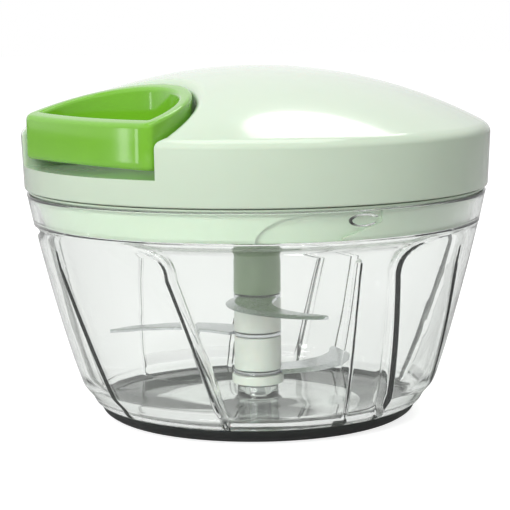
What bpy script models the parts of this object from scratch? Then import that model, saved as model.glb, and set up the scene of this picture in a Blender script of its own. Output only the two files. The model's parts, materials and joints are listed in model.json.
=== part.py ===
# Food chopper worked by a pull cord: a clear bowl with three blades on a pin, and a two-part lid
# that holds a cord pulley, its recoil spring and the pawls that turn the blades.
# Metres, +Z up. The origin is on the bowl's axis, on the surface that the base ring stands on.

import math

import bmesh
import bpy
from mathutils import Matrix, Vector

GAP = 0.0003  # between pieces that touch
RUNNING_GAP = 0.0003  # between a shaft and its bore

# Bowl
BOWL_HEIGHT = 0.0613
BOWL_RIM_RADIUS = 0.0615
BOWL_FOOT_RADIUS = 0.0432
BOWL_BAND = 0.0083
BOWL_BAND_TAPER = 0.0017
BAND_STEP = 0.0021
BAND_COVE = 0.0025
BOWL_FLARE = 0.78
BOWL_WALL = 0.0019
BOWL_FLOOR = 0.0020
BOWL_CORNER = 0.0040
BOWL_STEPS = 60

# Base ring under the bowl
BASE_SET_IN = 0.0004
BASE_HEIGHT = 0.0039
BASE_OPENING_SHARE = 0.65
BASE_FLANGE = 0.0019
BASE_LIP = 0.0015
BASE_CONTACT_SET_IN = 0.0056
BASE_CONTACT_WIDTH = 0.0048
BASE_RELIEF = 0.0007

# Three arched panels stand out of the bowl's side and lean round it towards the base
FOLD = 3
PANEL_PROUD = 0.0020
PANEL_PROUD_BELOW = 0.0005
PANEL_AZIMUTH = 217.3
PANEL_HALF_ANGLE = 32.4
PANEL_ARCH_HEIGHT = 0.0090
PANEL_ARCH_POWER = 3.8
PANEL_LEAN_ANGLE = 8.8
PANEL_BULGE_END = 0.0018
PANEL_BULGE_FADE = 0.0045
PANEL_FOOT = 0.0010
PANEL_EDGE_ANGLE = 2.0
GROOVE_DEPTH = 0.0008
PANEL_GROOVE_ANGLES = (0.0, -9.5, 0.0)  # from the middle of each panel
FIELD_GROOVE_AZIMUTH = 295.2
GROOVE_HALF_ANGLE = 2.4
GROOVE_TOP_MARGIN = 0.0050

# Bayonet: lugs in the bowl's rim, ramps in the lid's skirt
LUG_AZIMUTH = 296.0
LUG_LENGTH = 0.0088
LUG_HEIGHT = 0.0033
LUG_DEPTH = 0.0011
LUG_BELOW_RIM = 0.0025
LID_RISE_PER_RADIAN = 0.020
RAMP_LEFT_ANGLE = 26.7
RAMP_ROUND_ANGLE = 13.7

# Bowl's pin and the boss that holds it
PIN_RADIUS = 0.0020
PIN_STANDING = 0.0145
PIN_SEAT = 0.0030
BOSS_RADIUS = 0.0055
BOSS_HEIGHT = 0.0038

# Blade unit
BLADE_THICKNESS = 0.0008
BLADE_PITCH = 0.0104
BLADE_REACHES = (0.900, 0.945, 0.970)  # shares of the bowl's foot radius
BLADE_AZIMUTHS = (20.0, 140.0, 260.0)
BLADE_SWEEP_ANGLE = 34.0
BLADE_ROOT_WIDTH = 0.0125
BLADE_TIP_WIDTH = 0.0062
BLADE_BEVEL = 0.0024
SHAFT_RADIUS = 0.0036
SHAFT_FLANGE_RADIUS = 0.0070
SHAFT_FLANGE = 0.0025
STEM_RADIUS = 0.0064

# Coupling between the blade unit and the drive hub
HUB_RADIUS = 0.00675
HUB_SOCKET_RADIUS = 0.0050
HUB_BELOW_SKIRT = 0.0057
DOG_INNER_RADIUS = 0.0039
DOG_HALF_ANGLE = 20.0
DOG_LENGTH = 0.0081
DOG_PLAY_ANGLE = 4.0
DOG_AZIMUTH = 13.0

# Lid covers
COVER_OVERHANG = 0.0005
COVER_DRAFT = 0.0006
COVER_LIFT = 0.0011
COVER_SIDE = 0.0140
COVER_HEIGHT = 0.0318
COVER_DOME_RADIUS = 0.130
COVER_SHOULDER_REACH = 0.0018
COVER_WALL = 0.0021
COVER_SEAT_DEPTH = 0.0021
COVER_STEPS = 42
SKIRT_DEPTH = 0.0071
SKIRT_WALL = 0.0022
SKIRT_PLAY = 0.0004
RAMP_DEPTH = 0.0010
LOWER_PLATE = 0.0020
LOWER_PLATE_RAISE = 0.0004
FLANGE_LIP = 0.0005
FLANGE_HEIGHT = 0.0026
TOWER_WALL = 0.0024
TOWER_HEIGHT = 0.0134

# Screws through the lower cover into posts of the top cover
SCREW_SET_IN = 0.0155
SCREW_OFFSET_ANGLES = (60.0, 180.0, -60.0)
SCREW_RADIUS = 0.0015
SCREW_HEAD_RADIUS = 0.0028
SCREW_HEAD = 0.0014
SCREW_LENGTH = 0.0100
PAD_RADIUS = 0.0050
PAD_HEIGHT = 0.0040
POST_RADIUS = 0.0036
POST_BORE_DEPTH = 0.0100

# Loop handle and its pocket in the top cover
PULL_AZIMUTH = 220.0
HANDLE_SET_IN = 0.0059
HANDLE_HALF_WIDTH = 0.0270
HANDLE_DEPTH_SHARE = 0.4393  # of the lid's radius
HANDLE_WALL = 0.0038
HANDLE_CORNER = 0.0040
HANDLE_INNER_CORNER = 0.0008
HANDLE_CORNER_SHAPE = 0.55
HANDLE_BULGE = 0.0010
HANDLE_HEIGHT = 0.0112
HANDLE_TOP_ANGLE = 16.7
HANDLE_ROUND = 0.0009
POCKET_CLEARANCE = 0.0010
POCKET_BELOW = 0.0021
POCKET_SILL = 0.0066
POCKET_WALL = 0.0020
POCKET_FLARE = 0.0026

# Cord and its guide
CORD_RADIUS = 0.0008
CORD_ABOVE_HANDLE_BOTTOM = 0.0068
CORD_HOLE_RADIUS = 0.0012
KNOT_RADIUS = 0.0019
GUIDE_RADIUS = 0.0029
GUIDE_BORE_RADIUS = 0.0012
GUIDE_FLANGE_RADIUS = 0.0042
GUIDE_FLANGE = 0.0010

# Pulley, pawls and recoil spring
SPINDLE_RADIUS = 0.0015
PULLEY_GROOVE_RADIUS = 0.0150
PULLEY_FLANGE_RADIUS = 0.0190
PULLEY_GROOVE_WIDTH = 0.0034
PULLEY_FLANGE = 0.0012
ARBOR_RADIUS = 0.0058
WINDING_RADIUS = 0.0178
SPRING_WIDTH = 0.0050
SPRING_THICKNESS = 0.00035
SPRING_TURNS = 3.5
SPRING_RING_RADIUS = 0.0150
SPRING_RING_WALL = 0.0018
SPRING_CLEARANCE = 0.0010
TEETH = 8
TOOTH_TIP_RADIUS = 0.0094
TOOTH_ROOT_RADIUS = 0.0076
TOOTH_WIDTH = 0.0040
HUB_FLANGE_RADIUS = 0.0100
HUB_FLANGE = 0.0015
WASHER_THICKNESS = 0.0006
PAWL_PIN_RADIUS = 0.0012
PAWL_WIDTH = 0.0030
PAWL_EYE_RADIUS = 0.0025
PAWL_TIP_HALF_WIDTH = 0.00055
PAWL_TIP = (0.0089, 0.0006)
PAWL_PIVOT = (0.0105, 0.0095)

# Sizes and heights that follow from the ones above
BASE_RADIUS = BOWL_FOOT_RADIUS - BASE_SET_IN
BOWL_BAND_RADIUS = BOWL_RIM_RADIUS - BOWL_BAND_TAPER
WALL_TOP_RADIUS = BOWL_BAND_RADIUS - BAND_STEP
BOWL_UNDERSIDE = BASE_FLANGE + GAP
BOWL_SEAT = BASE_HEIGHT + GAP
BOWL_FLOOR_TOP = BOWL_UNDERSIDE + BOWL_FLOOR
BOSS_TOP = BOWL_FLOOR_TOP + BOSS_HEIGHT
PANEL_TOP = BOWL_HEIGHT - BOWL_BAND
LUG_CENTRE = BOWL_HEIGHT - LUG_BELOW_RIM
SHAFT_BOTTOM = BOSS_TOP + GAP
FIRST_BLADE = SHAFT_BOTTOM + SHAFT_FLANGE + GAP
SKIRT_BOTTOM = BOWL_HEIGHT - SKIRT_DEPTH
HUB_BOTTOM = SKIRT_BOTTOM - HUB_BELOW_SKIRT
STEM_SHOULDER = HUB_BOTTOM - GAP
DOG_BOTTOM = HUB_BOTTOM + GAP
STEM_TOP = DOG_BOTTOM + DOG_LENGTH
SOCKET_TOP = STEM_TOP + GAP
TOWER_BORE_RADIUS = HUB_RADIUS + RUNNING_GAP
TOWER_TOP = SKIRT_BOTTOM + TOWER_HEIGHT
PLATE_BOTTOM = SKIRT_BOTTOM + LOWER_PLATE_RAISE
PLATE_TOP = PLATE_BOTTOM + LOWER_PLATE
FLANGE_BOTTOM = BOWL_HEIGHT + GAP
FLANGE_TOP = FLANGE_BOTTOM + FLANGE_HEIGHT
COVER_BOTTOM_RADIUS = BOWL_RIM_RADIUS + COVER_OVERHANG
COVER_SHOULDER_RADIUS = COVER_BOTTOM_RADIUS + COVER_DRAFT
COVER_BOTTOM_HEIGHT = BOWL_HEIGHT + COVER_LIFT
COVER_SHOULDER_HEIGHT = COVER_BOTTOM_HEIGHT + COVER_SIDE
COVER_APEX_HEIGHT = COVER_BOTTOM_HEIGHT + COVER_HEIGHT
SCREW_CIRCLE_RADIUS = BOWL_RIM_RADIUS - SCREW_SET_IN
POCKET_FLOOR = COVER_BOTTOM_HEIGHT + POCKET_SILL
HANDLE_BOTTOM = POCKET_FLOOR + POCKET_BELOW
HANDLE_FRONT_TOP = HANDLE_BOTTOM + HANDLE_HEIGHT
HANDLE_REACH = COVER_SHOULDER_RADIUS - HANDLE_SET_IN
HANDLE_DEPTH = COVER_SHOULDER_RADIUS * HANDLE_DEPTH_SHARE
CORD_HEIGHT = HANDLE_BOTTOM + CORD_ABOVE_HANDLE_BOTTOM
WASHER_BOTTOM = TOWER_TOP + GAP
HUB_FLANGE_BOTTOM = WASHER_BOTTOM + WASHER_THICKNESS + GAP
WHEEL_BOTTOM = HUB_FLANGE_BOTTOM + HUB_FLANGE
WHEEL_TOP = WHEEL_BOTTOM + TOOTH_WIDTH
PULLEY_BOTTOM = CORD_HEIGHT - PULLEY_GROOVE_WIDTH / 2 - PULLEY_FLANGE
PULLEY_DISC_TOP = CORD_HEIGHT + PULLEY_GROOVE_WIDTH / 2 + PULLEY_FLANGE
SPRING_BOTTOM = PULLEY_DISC_TOP + SPRING_CLEARANCE
ARBOR_TOP = SPRING_BOTTOM + SPRING_WIDTH + GAP
BORE_RADIUS = SPINDLE_RADIUS + RUNNING_GAP
SPINDLE_TOP = (ARBOR_TOP + COVER_APEX_HEIGHT) / 2

SMALL = 0.00001  # merge distance
SMOOTH_ANGLE = math.radians(35)
OUTWARD = Vector((math.cos(math.radians(PULL_AZIMUTH)), math.sin(math.radians(PULL_AZIMUTH)), 0))
ACROSS = Vector((-OUTWARD.y, OUTWARD.x, 0))


# Scene, collections and materials

def clear_scene():
    for item in list(bpy.data.objects):
        bpy.data.objects.remove(item, do_unlink=True)


def new_collection(name):
    collection = bpy.data.collections.new(name)
    bpy.context.scene.collection.children.link(collection)
    return collection


def plastic(name, colour, roughness, metallic=0.0, clear=0.0):
    item = bpy.data.materials.new(name)
    item.use_nodes = True
    shader = item.node_tree.nodes["Principled BSDF"]
    shader.inputs["Base Color"].default_value = (*colour, 1.0)
    shader.inputs["Roughness"].default_value = roughness
    shader.inputs["Metallic"].default_value = metallic
    shader.inputs["Transmission Weight"].default_value = clear
    item.diffuse_color = (*colour, 1.0 - 0.6 * clear)
    return item


clear_scene()
PARTS = new_collection("food_chopper")
CUTTERS = new_collection("cutters")
MATERIALS = {
    "clear": plastic("clear_plastic", (0.86, 0.92, 0.88), 0.08, clear=0.9),
    "mint": plastic("mint_plastic", (0.62, 0.76, 0.56), 0.25),
    "green": plastic("green_plastic", (0.22, 0.50, 0.07), 0.22),
    "dark": plastic("dark_rubber", (0.035, 0.035, 0.033), 0.65),
    "hub": plastic("grey_green_plastic", (0.16, 0.22, 0.13), 0.4),
    "white": plastic("white_plastic", (0.75, 0.77, 0.72), 0.4),
    "steel": plastic("steel", (0.62, 0.62, 0.62), 0.25, metallic=1.0),
    "cord": plastic("cord", (0.80, 0.80, 0.76), 0.85),
}


# Building helpers

def place(mesh, name, material):
    # A finished piece goes in the parts' collection, a cutter in the other one
    item = bpy.data.objects.new(name, mesh)
    if material is None:
        CUTTERS.objects.link(item)
        item.hide_render = True
        item.display_type = "WIRE"
    else:
        PARTS.objects.link(item)
        mesh.materials.append(MATERIALS[material])
    return item


def shade(item):
    item.data.shade_smooth()
    item.data.set_sharp_from_angle(angle=SMOOTH_ANGLE)


def evaluated(item):
    # The object's mesh with its modifiers applied, welded and facing outwards
    graph = bpy.context.evaluated_depsgraph_get()
    mesh = bpy.data.meshes.new_from_object(item.evaluated_get(graph), depsgraph=graph)
    work = bmesh.new()
    work.from_mesh(mesh)
    bmesh.ops.remove_doubles(work, verts=work.verts, dist=SMALL)
    bmesh.ops.recalc_face_normals(work, faces=work.faces)
    work.to_mesh(mesh)
    work.free()
    return mesh


def turned(name, profile, steps, material=None, closed=True):
    # Profile points are (radius, height), down the outer side first
    mesh = bpy.data.meshes.new(name)
    count = len(profile)
    edges = [(i, i + 1) for i in range(count - 1)]
    if closed:
        edges.append((count - 1, 0))
    mesh.from_pydata([(r, 0.0, z) for r, z in profile], edges, [])
    item = place(mesh, name, material)
    screw = item.modifiers.new("turn", "SCREW")
    screw.axis = "Z"
    screw.angle = 2 * math.pi
    screw.steps = steps
    screw.render_steps = steps
    screw.use_merge_vertices = True
    screw.merge_threshold = SMALL
    screw.use_smooth_shade = True
    return item


def turned_mesh(name, profile, steps, material=None, closed=True):
    # A turned piece as a plain mesh, for pieces that are cut, joined or reshaped
    source = turned(name + "_profile", profile, steps, None, closed)
    mesh = evaluated(source)
    bpy.data.objects.remove(source, do_unlink=True)
    mesh.materials.clear()
    item = place(mesh, name, material)
    shade(item)
    return item


def rod(name, radius, start, end, sides=24, material=None):
    # A cylinder from one point to another
    start = Vector(start)
    end = Vector(end)
    work = bmesh.new()
    bmesh.ops.create_cone(work, cap_ends=True, segments=sides, radius1=radius, radius2=radius,
                          depth=(end - start).length)
    turn = (end - start).to_track_quat("Z", "Y").to_matrix().to_4x4()
    work.transform(Matrix.Translation((start + end) / 2) @ turn)
    mesh = bpy.data.meshes.new(name)
    work.to_mesh(mesh)
    work.free()
    item = place(mesh, name, material)
    shade(item)
    return item


def plate(name, outlines, low, high, material=None):
    # Flat outlines, the first one filled and the others holes, between two heights
    curve = bpy.data.curves.new(name, "CURVE")
    curve.dimensions = "2D"
    curve.fill_mode = "BOTH"
    curve.extrude = (high - low) / 2
    for outline in outlines:
        spline = curve.splines.new("POLY")
        spline.points.add(len(outline) - 1)
        for point, (x, y) in zip(spline.points, outline):
            point.co = (x, y, 0.0, 1.0)
        spline.use_cyclic_u = True
    source = bpy.data.objects.new(name + "_outline", curve)
    CUTTERS.objects.link(source)
    mesh = evaluated(source)
    mesh.transform(Matrix.Translation((0.0, 0.0, (low + high) / 2)))
    bpy.data.objects.remove(source, do_unlink=True)
    mesh.materials.clear()
    item = place(mesh, name, material)
    shade(item)
    return item


def lofted(name, rings, material=None, capped=False):
    # Rings of equally many points, joined in order. Without caps the last ring joins the first.
    size = len(rings[0])
    points = [tuple(point) for ring in rings for point in ring]
    rows = len(rings)
    faces = []
    for i in range(rows - 1 if capped else rows):
        below = i * size
        above = ((i + 1) % rows) * size
        for j in range(size):
            k = (j + 1) % size
            faces.append((below + j, below + k, above + k, above + j))
    if capped:
        faces.append(tuple(reversed(range(size))))
        faces.append(tuple(range((rows - 1) * size, rows * size)))
    mesh = bpy.data.meshes.new(name)
    mesh.from_pydata(points, [], faces)
    work = bmesh.new()
    work.from_mesh(mesh)
    bmesh.ops.recalc_face_normals(work, faces=work.faces)
    work.to_mesh(mesh)
    work.free()
    item = place(mesh, name, material)
    shade(item)
    return item


def combine(item, other, operation):
    boolean = item.modifiers.new(operation.lower() + "_" + other.name, "BOOLEAN")
    boolean.operation = operation
    boolean.object = other
    boolean.solver = "EXACT"


def join(item, *others):
    for other in others:
        combine(item, other, "UNION")


def cut(item, *others):
    for other in others:
        combine(item, other, "DIFFERENCE")


def polar(radius, azimuth, height=0.0):
    angle = math.radians(azimuth)
    return Vector((radius * math.cos(angle), radius * math.sin(angle), height))


def circle(radius, count, centre=(0.0, 0.0)):
    return [(centre[0] + radius * math.cos(2 * math.pi * i / count),
             centre[1] + radius * math.sin(2 * math.pi * i / count)) for i in range(count)]


def sector(inner, outer, middle, half, count=4):
    # Outline of a piece of a ring, round the azimuth middle
    angles = [middle - half + 2 * half * i / count for i in range(count + 1)]
    outside = [polar(outer, a).xy for a in angles]
    inside = [polar(inner, a).xy for a in reversed(angles)]
    return [tuple(p) for p in outside + inside]


def ramp(value, low, high):
    # Goes smoothly from 0 at low to 1 at high
    t = min(max((value - low) / (high - low), 0.0), 1.0)
    return t * t * (3 - 2 * t)


def angle_between(azimuth, middle):
    # Signed angle from the nearest copy of a feature that repeats round the bowl
    pitch = 360.0 / FOLD
    return (azimuth - middle + pitch / 2) % pitch - pitch / 2


# Bowl

def wall_radius(z):
    # Outer radius of the flared wall below the band
    t = max((z - BOWL_SEAT) / (PANEL_TOP - BOWL_SEAT), 0.0)
    return BOWL_FOOT_RADIUS + (WALL_TOP_RADIUS - BOWL_FOOT_RADIUS) * t ** BOWL_FLARE


def band_cove(z):
    # The wall curves out to the band just below it
    return BAND_STEP * ramp(z, PANEL_TOP - BAND_COVE, PANEL_TOP)


def bowl_radius(z):
    # Outer radius of the plain wall between the panels, with a straight band above them
    if z > PANEL_TOP:
        t = min((z - PANEL_TOP) / BOWL_BAND, 1.0)
        return BOWL_BAND_RADIUS + (BOWL_RIM_RADIUS - BOWL_BAND_RADIUS) * t
    return wall_radius(z) + band_cove(z)


def bowl_inner_radius(z):
    return bowl_radius(z) - BOWL_WALL


def bowl_relief(azimuth, z):
    # How far the wall stands out of its plain shape: panels outwards, grooves inwards
    if z >= PANEL_TOP or z <= BOWL_SEAT:
        return 0.0
    foot = ramp(z, BOWL_SEAT, BOWL_SEAT + PANEL_FOOT)
    bulge_start = BOWL_SEAT + PANEL_BULGE_END
    bulge = ramp(z, bulge_start, bulge_start + PANEL_BULGE_FADE)
    proud = foot * (PANEL_PROUD_BELOW + (PANEL_PROUD - PANEL_PROUD_BELOW) * bulge)
    arch_base = PANEL_TOP - PANEL_ARCH_HEIGHT
    rise = max(z - arch_base, 0.0) / PANEL_ARCH_HEIGHT
    half = PANEL_HALF_ANGLE * max(1.0 - rise ** PANEL_ARCH_POWER, 0.0) ** (1 / PANEL_ARCH_POWER)
    fall = max(arch_base - z, 0.0) / (arch_base - BOWL_SEAT)
    middle = PANEL_AZIMUTH + PANEL_LEAN_ANGLE * fall
    along = angle_between(azimuth, middle)
    away = abs(along)
    proud = max(proud - band_cove(z), 0.0)
    out = proud * (1.0 - ramp(away, half - PANEL_EDGE_ANGLE, half + PANEL_EDGE_ANGLE))
    groove_top = PANEL_TOP - GROOVE_TOP_MARGIN
    top = 1.0 - ramp(z, groove_top - PANEL_ARCH_HEIGHT * 0.15, groove_top)
    panel = round((azimuth - middle) * FOLD / 360.0) % FOLD
    for away in (along - PANEL_GROOVE_ANGLES[panel], angle_between(azimuth, FIELD_GROOVE_AZIMUTH)):
        deep = 1.0 - ramp(abs(away), GROOVE_HALF_ANGLE / 2, GROOVE_HALF_ANGLE * 1.5)
        out -= GROOVE_DEPTH * foot * top * deep
    return out


def make_bowl():
    arch_base = PANEL_TOP - PANEL_ARCH_HEIGHT
    bulge_start = BOWL_SEAT + PANEL_BULGE_END
    bulge_top = bulge_start + PANEL_BULGE_FADE
    middle = (bulge_top + arch_base) / 2
    outside = [BOWL_SEAT, BOWL_SEAT + PANEL_FOOT, bulge_start, bulge_top, middle, arch_base]
    outside += [arch_base + PANEL_ARCH_HEIGHT * t for t in (0.45, 0.72, 0.87, 1.0)]
    inside = [PANEL_TOP, arch_base + 0.72 * PANEL_ARCH_HEIGHT, arch_base, middle, bulge_top]
    rounding = BOWL_WALL / 4
    foot = BASE_RADIUS - BASE_LIP - GAP
    profile = [(0.0, BOWL_UNDERSIDE), (foot, BOWL_UNDERSIDE), (foot, BOWL_SEAT)]
    profile += [(bowl_radius(z), z) for z in outside]
    profile += [(bowl_radius(BOWL_HEIGHT - rounding), BOWL_HEIGHT - rounding)]
    profile += [(BOWL_RIM_RADIUS - rounding, BOWL_HEIGHT)]
    profile += [(BOWL_RIM_RADIUS - BOWL_WALL, BOWL_HEIGHT)]
    profile += [(bowl_inner_radius(z), z) for z in inside]
    corner = BOWL_FLOOR_TOP + BOWL_CORNER
    side = bowl_inner_radius(corner)
    for i in range(3):
        turn = math.radians(90.0 * i / 2)
        profile.append((side - BOWL_CORNER + BOWL_CORNER * math.cos(turn),
                        corner - BOWL_CORNER * math.sin(turn)))
    bore = PIN_RADIUS + RUNNING_GAP
    bore_bottom = BOSS_TOP - PIN_SEAT - GAP
    profile += [(BOSS_RADIUS, BOWL_FLOOR_TOP)]
    profile += [(BOSS_RADIUS * 0.93, BOSS_TOP), (bore, BOSS_TOP), (bore, bore_bottom), (0.0, bore_bottom)]
    bowl = turned_mesh("bowl", list(reversed(profile)), BOWL_STEPS, "clear", closed=False)
    for vertex in bowl.data.vertices:
        x, y, z = vertex.co
        radius = math.hypot(x, y)
        if radius > bowl_inner_radius(BOWL_SEAT) - BOWL_CORNER / 2:
            azimuth = math.degrees(math.atan2(y, x)) % 360
            scale = (radius + bowl_relief(azimuth, z)) / radius
            vertex.co.x = x * scale
            vertex.co.y = y * scale
    shade(bowl)
    for i in range(FOLD):
        azimuth = LUG_AZIMUTH + 360.0 / FOLD * i
        inner = bowl_inner_radius(LUG_CENTRE) - LUG_DEPTH
        lug = rod("lug_%d" % (i + 1), 0.5, polar(inner, azimuth, LUG_CENTRE),
                  polar(bowl_inner_radius(LUG_CENTRE) + BOWL_WALL * 0.5, azimuth, LUG_CENTRE), 16)
        squeeze_lug(lug, azimuth)
        join(bowl, lug)
    return bowl


def squeeze_lug(lug, azimuth):
    # Turns the round rod of unit diameter into an oval one, long round the rim and low in height
    along = polar(1.0, azimuth + 90.0)
    out = polar(1.0, azimuth)
    for vertex in lug.data.vertices:
        side = vertex.co.dot(along)
        up = vertex.co.z - LUG_CENTRE
        depth = vertex.co.dot(out)
        vertex.co = out * depth + along * (side * LUG_LENGTH) + Vector((0, 0, LUG_CENTRE + up * LUG_HEIGHT))


def make_base_ring():
    pocket = BASE_RADIUS - BASE_LIP
    contact = BASE_RADIUS - BASE_CONTACT_SET_IN
    inner_contact = contact - BASE_CONTACT_WIDTH
    opening = BASE_RADIUS * BASE_OPENING_SHARE
    profile = [
        (BASE_RADIUS, BASE_HEIGHT),
        (BASE_RADIUS - BASE_LIP * 0.4, BASE_HEIGHT * 0.54),
        (BASE_RADIUS - BASE_LIP * 1.9, BASE_HEIGHT * 0.16),
        (contact, 0.0),
        (inner_contact, 0.0),
        (inner_contact - BASE_RELIEF, BASE_RELIEF),
        (opening, BASE_RELIEF),
        (opening, BASE_FLANGE),
        (pocket, BASE_FLANGE),
        (pocket, BASE_HEIGHT),
    ]
    return turned("base_ring", profile, 48, "dark")


def make_centre_pin():
    bottom = BOSS_TOP - PIN_SEAT
    top = BOSS_TOP + PIN_STANDING
    profile = [(0.0, top), (PIN_RADIUS * 0.6, top - PIN_RADIUS * 0.1), (PIN_RADIUS, top - PIN_RADIUS * 0.45),
               (PIN_RADIUS, bottom), (0.0, bottom)]
    return turned("centre_pin", profile, 16, "steel", closed=False)


# Blade unit

def make_blade_shaft():
    bore = PIN_RADIUS + RUNNING_GAP
    bore_top = BOSS_TOP + PIN_STANDING + GAP
    top = STEM_SHOULDER - SHAFT_RADIUS
    profile = [(0.0, top), (SHAFT_RADIUS, top), (SHAFT_RADIUS, SHAFT_BOTTOM + SHAFT_FLANGE),
               (SHAFT_FLANGE_RADIUS, SHAFT_BOTTOM + SHAFT_FLANGE),
               (SHAFT_FLANGE_RADIUS, SHAFT_BOTTOM + SHAFT_FLANGE / 4),
               (SHAFT_FLANGE_RADIUS - SHAFT_FLANGE / 4, SHAFT_BOTTOM),
               (bore, SHAFT_BOTTOM), (bore, bore_top), (0.0, bore_top)]
    return turned("blade_shaft", profile, 20, "white", closed=False)


def blade_height(i):
    return FIRST_BLADE + BLADE_PITCH * i


def make_blade(name, i):
    # A curved blade swept back from its ring, sharpened on its leading side
    low = blade_height(i)
    high = low + BLADE_THICKNESS
    reach = BLADE_REACHES[i] * BOWL_FOOT_RADIUS
    start = (SHAFT_RADIUS + STEM_RADIUS) / 2
    rows = 8
    rings = []
    for row in range(rows + 1):
        t = row / rows
        radius = start + (reach - start) * t
        azimuth = BLADE_AZIMUTHS[i] + BLADE_SWEEP_ANGLE * t ** 1.6
        middle = polar(radius, azimuth)
        ahead = polar(1.0, azimuth - 90.0)
        width = BLADE_ROOT_WIDTH + (BLADE_TIP_WIDTH - BLADE_ROOT_WIDTH) * t
        width *= math.sqrt(max(1.0 - max((t - 0.86) / 0.142, 0.0) ** 2, 0.02))
        belly = 0.18 * width * math.sin(math.pi * t)
        edge = middle + ahead * (width / 2 + belly)
        shoulder = edge - ahead * min(BLADE_BEVEL, width * 0.6)
        back = middle - ahead * (width / 2)
        rings.append([(back.x, back.y, low), (edge.x, edge.y, low),
                      (shoulder.x, shoulder.y, high), (back.x, back.y, high)])
    arm = lofted(name + "_arm", rings, capped=True)
    blade = plate(name, [circle(STEM_RADIUS, 20), circle(SHAFT_RADIUS + GAP, 20)],
                  low - SMALL, high + SMALL, "steel")
    join(blade, arm)
    return blade


def make_spacer(name, i):
    low = blade_height(i) + BLADE_THICKNESS + GAP
    high = blade_height(i + 1) - GAP
    inner = SHAFT_RADIUS + GAP
    profile = [(STEM_RADIUS, high), (STEM_RADIUS, low), (inner, low), (inner, high)]
    return turned(name, profile, 20, "white")


def make_stem_sleeve():
    low = blade_height(2) + BLADE_THICKNESS + GAP
    inner = SHAFT_RADIUS + GAP
    bore_top = STEM_SHOULDER - SHAFT_RADIUS + GAP
    neck = DOG_INNER_RADIUS - GAP
    profile = [(0.0, STEM_TOP), (neck, STEM_TOP), (neck, STEM_SHOULDER), (STEM_RADIUS, STEM_SHOULDER),
               (STEM_RADIUS, low), (inner, low), (inner, bore_top), (0.0, bore_top)]
    sleeve = turned_mesh("stem_sleeve", profile, 20, "hub", closed=False)
    reach = HUB_SOCKET_RADIUS - GAP
    for i in range(2):
        outline = sector(neck * 0.85, reach, DOG_AZIMUTH + 180.0 * i, DOG_HALF_ANGLE)
        join(sleeve, plate("stem_dog_%d" % (i + 1), [outline], DOG_BOTTOM, STEM_TOP - GAP))
    return sleeve


# Drive hub with its ratchet wheel

def wheel_outline():
    # Ratchet teeth whose steep sides face anticlockwise seen from above
    points = []
    pitch = 360.0 / TEETH
    for tooth in range(TEETH):
        for t in (0.0, 0.5, 1.0):
            radius = TOOTH_ROOT_RADIUS + (TOOTH_TIP_RADIUS - TOOTH_ROOT_RADIUS) * t
            points.append(tuple(polar(radius, pitch * (tooth + t)).xy))
    return points


def make_drive_hub():
    profile = [
        (0.0, WHEEL_BOTTOM), (HUB_FLANGE_RADIUS, WHEEL_BOTTOM), (HUB_FLANGE_RADIUS, HUB_FLANGE_BOTTOM),
        (HUB_RADIUS, HUB_FLANGE_BOTTOM), (HUB_RADIUS, HUB_BOTTOM), (HUB_SOCKET_RADIUS, HUB_BOTTOM),
        (HUB_SOCKET_RADIUS, SOCKET_TOP), (0.0, SOCKET_TOP),
    ]
    hub = turned_mesh("drive_hub", profile, 30, "hub", closed=False)
    join(hub, plate("ratchet_wheel", [wheel_outline()], WHEEL_BOTTOM - HUB_FLANGE / 3, WHEEL_TOP))
    middle = DOG_AZIMUTH + DOG_HALF_ANGLE * 2 + DOG_PLAY_ANGLE
    for i in range(2):
        outer = HUB_SOCKET_RADIUS + (HUB_RADIUS - HUB_SOCKET_RADIUS) / 3
        outline = sector(DOG_INNER_RADIUS, outer, middle + 180.0 * i, DOG_HALF_ANGLE)
        join(hub, plate("hub_dog_%d" % (i + 1), [outline], DOG_BOTTOM, STEM_TOP))
    bottom = SOCKET_TOP - DOG_LENGTH / 4
    cut(hub, rod("hub_bore", BORE_RADIUS, (0, 0, bottom), (0, 0, WHEEL_TOP + TOOTH_WIDTH / 2), 20))
    return hub


def make_thrust_washer():
    low = WASHER_BOTTOM
    high = low + WASHER_THICKNESS
    outer = TOWER_BORE_RADIUS + TOWER_WALL
    inner = TOWER_BORE_RADIUS
    return turned("thrust_washer", [(outer, high), (outer, low), (inner, low), (inner, high)], 24, "white")


# Pulley, pawls, spring and spindle

def make_spindle():
    bottom = SOCKET_TOP + GAP
    profile = [(0.0, SPINDLE_TOP), (SPINDLE_RADIUS, SPINDLE_TOP), (SPINDLE_RADIUS, bottom), (0.0, bottom)]
    return turned("spindle", profile, 16, "steel", closed=False)


def make_pulley():
    profile = [
        (ARBOR_RADIUS, ARBOR_TOP), (ARBOR_RADIUS, PULLEY_DISC_TOP), (PULLEY_FLANGE_RADIUS, PULLEY_DISC_TOP),
        (PULLEY_FLANGE_RADIUS, PULLEY_DISC_TOP - PULLEY_FLANGE),
        (PULLEY_GROOVE_RADIUS, PULLEY_DISC_TOP - PULLEY_FLANGE),
        (PULLEY_GROOVE_RADIUS, PULLEY_BOTTOM + PULLEY_FLANGE),
        (PULLEY_FLANGE_RADIUS, PULLEY_BOTTOM + PULLEY_FLANGE),
        (PULLEY_FLANGE_RADIUS, PULLEY_BOTTOM), (BORE_RADIUS, PULLEY_BOTTOM), (BORE_RADIUS, ARBOR_TOP),
    ]
    pulley = turned_mesh("pulley", profile, 30, "white")
    for i in range(2):
        side = 1 - 2 * i
        x, y = PAWL_PIVOT[0] * side, PAWL_PIVOT[1] * side
        join(pulley, rod("pawl_pin_%d" % (i + 1), PAWL_PIN_RADIUS, (x, y, WHEEL_BOTTOM + GAP),
                         (x, y, PULLEY_BOTTOM + PULLEY_FLANGE / 2), 12))
    return pulley


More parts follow.
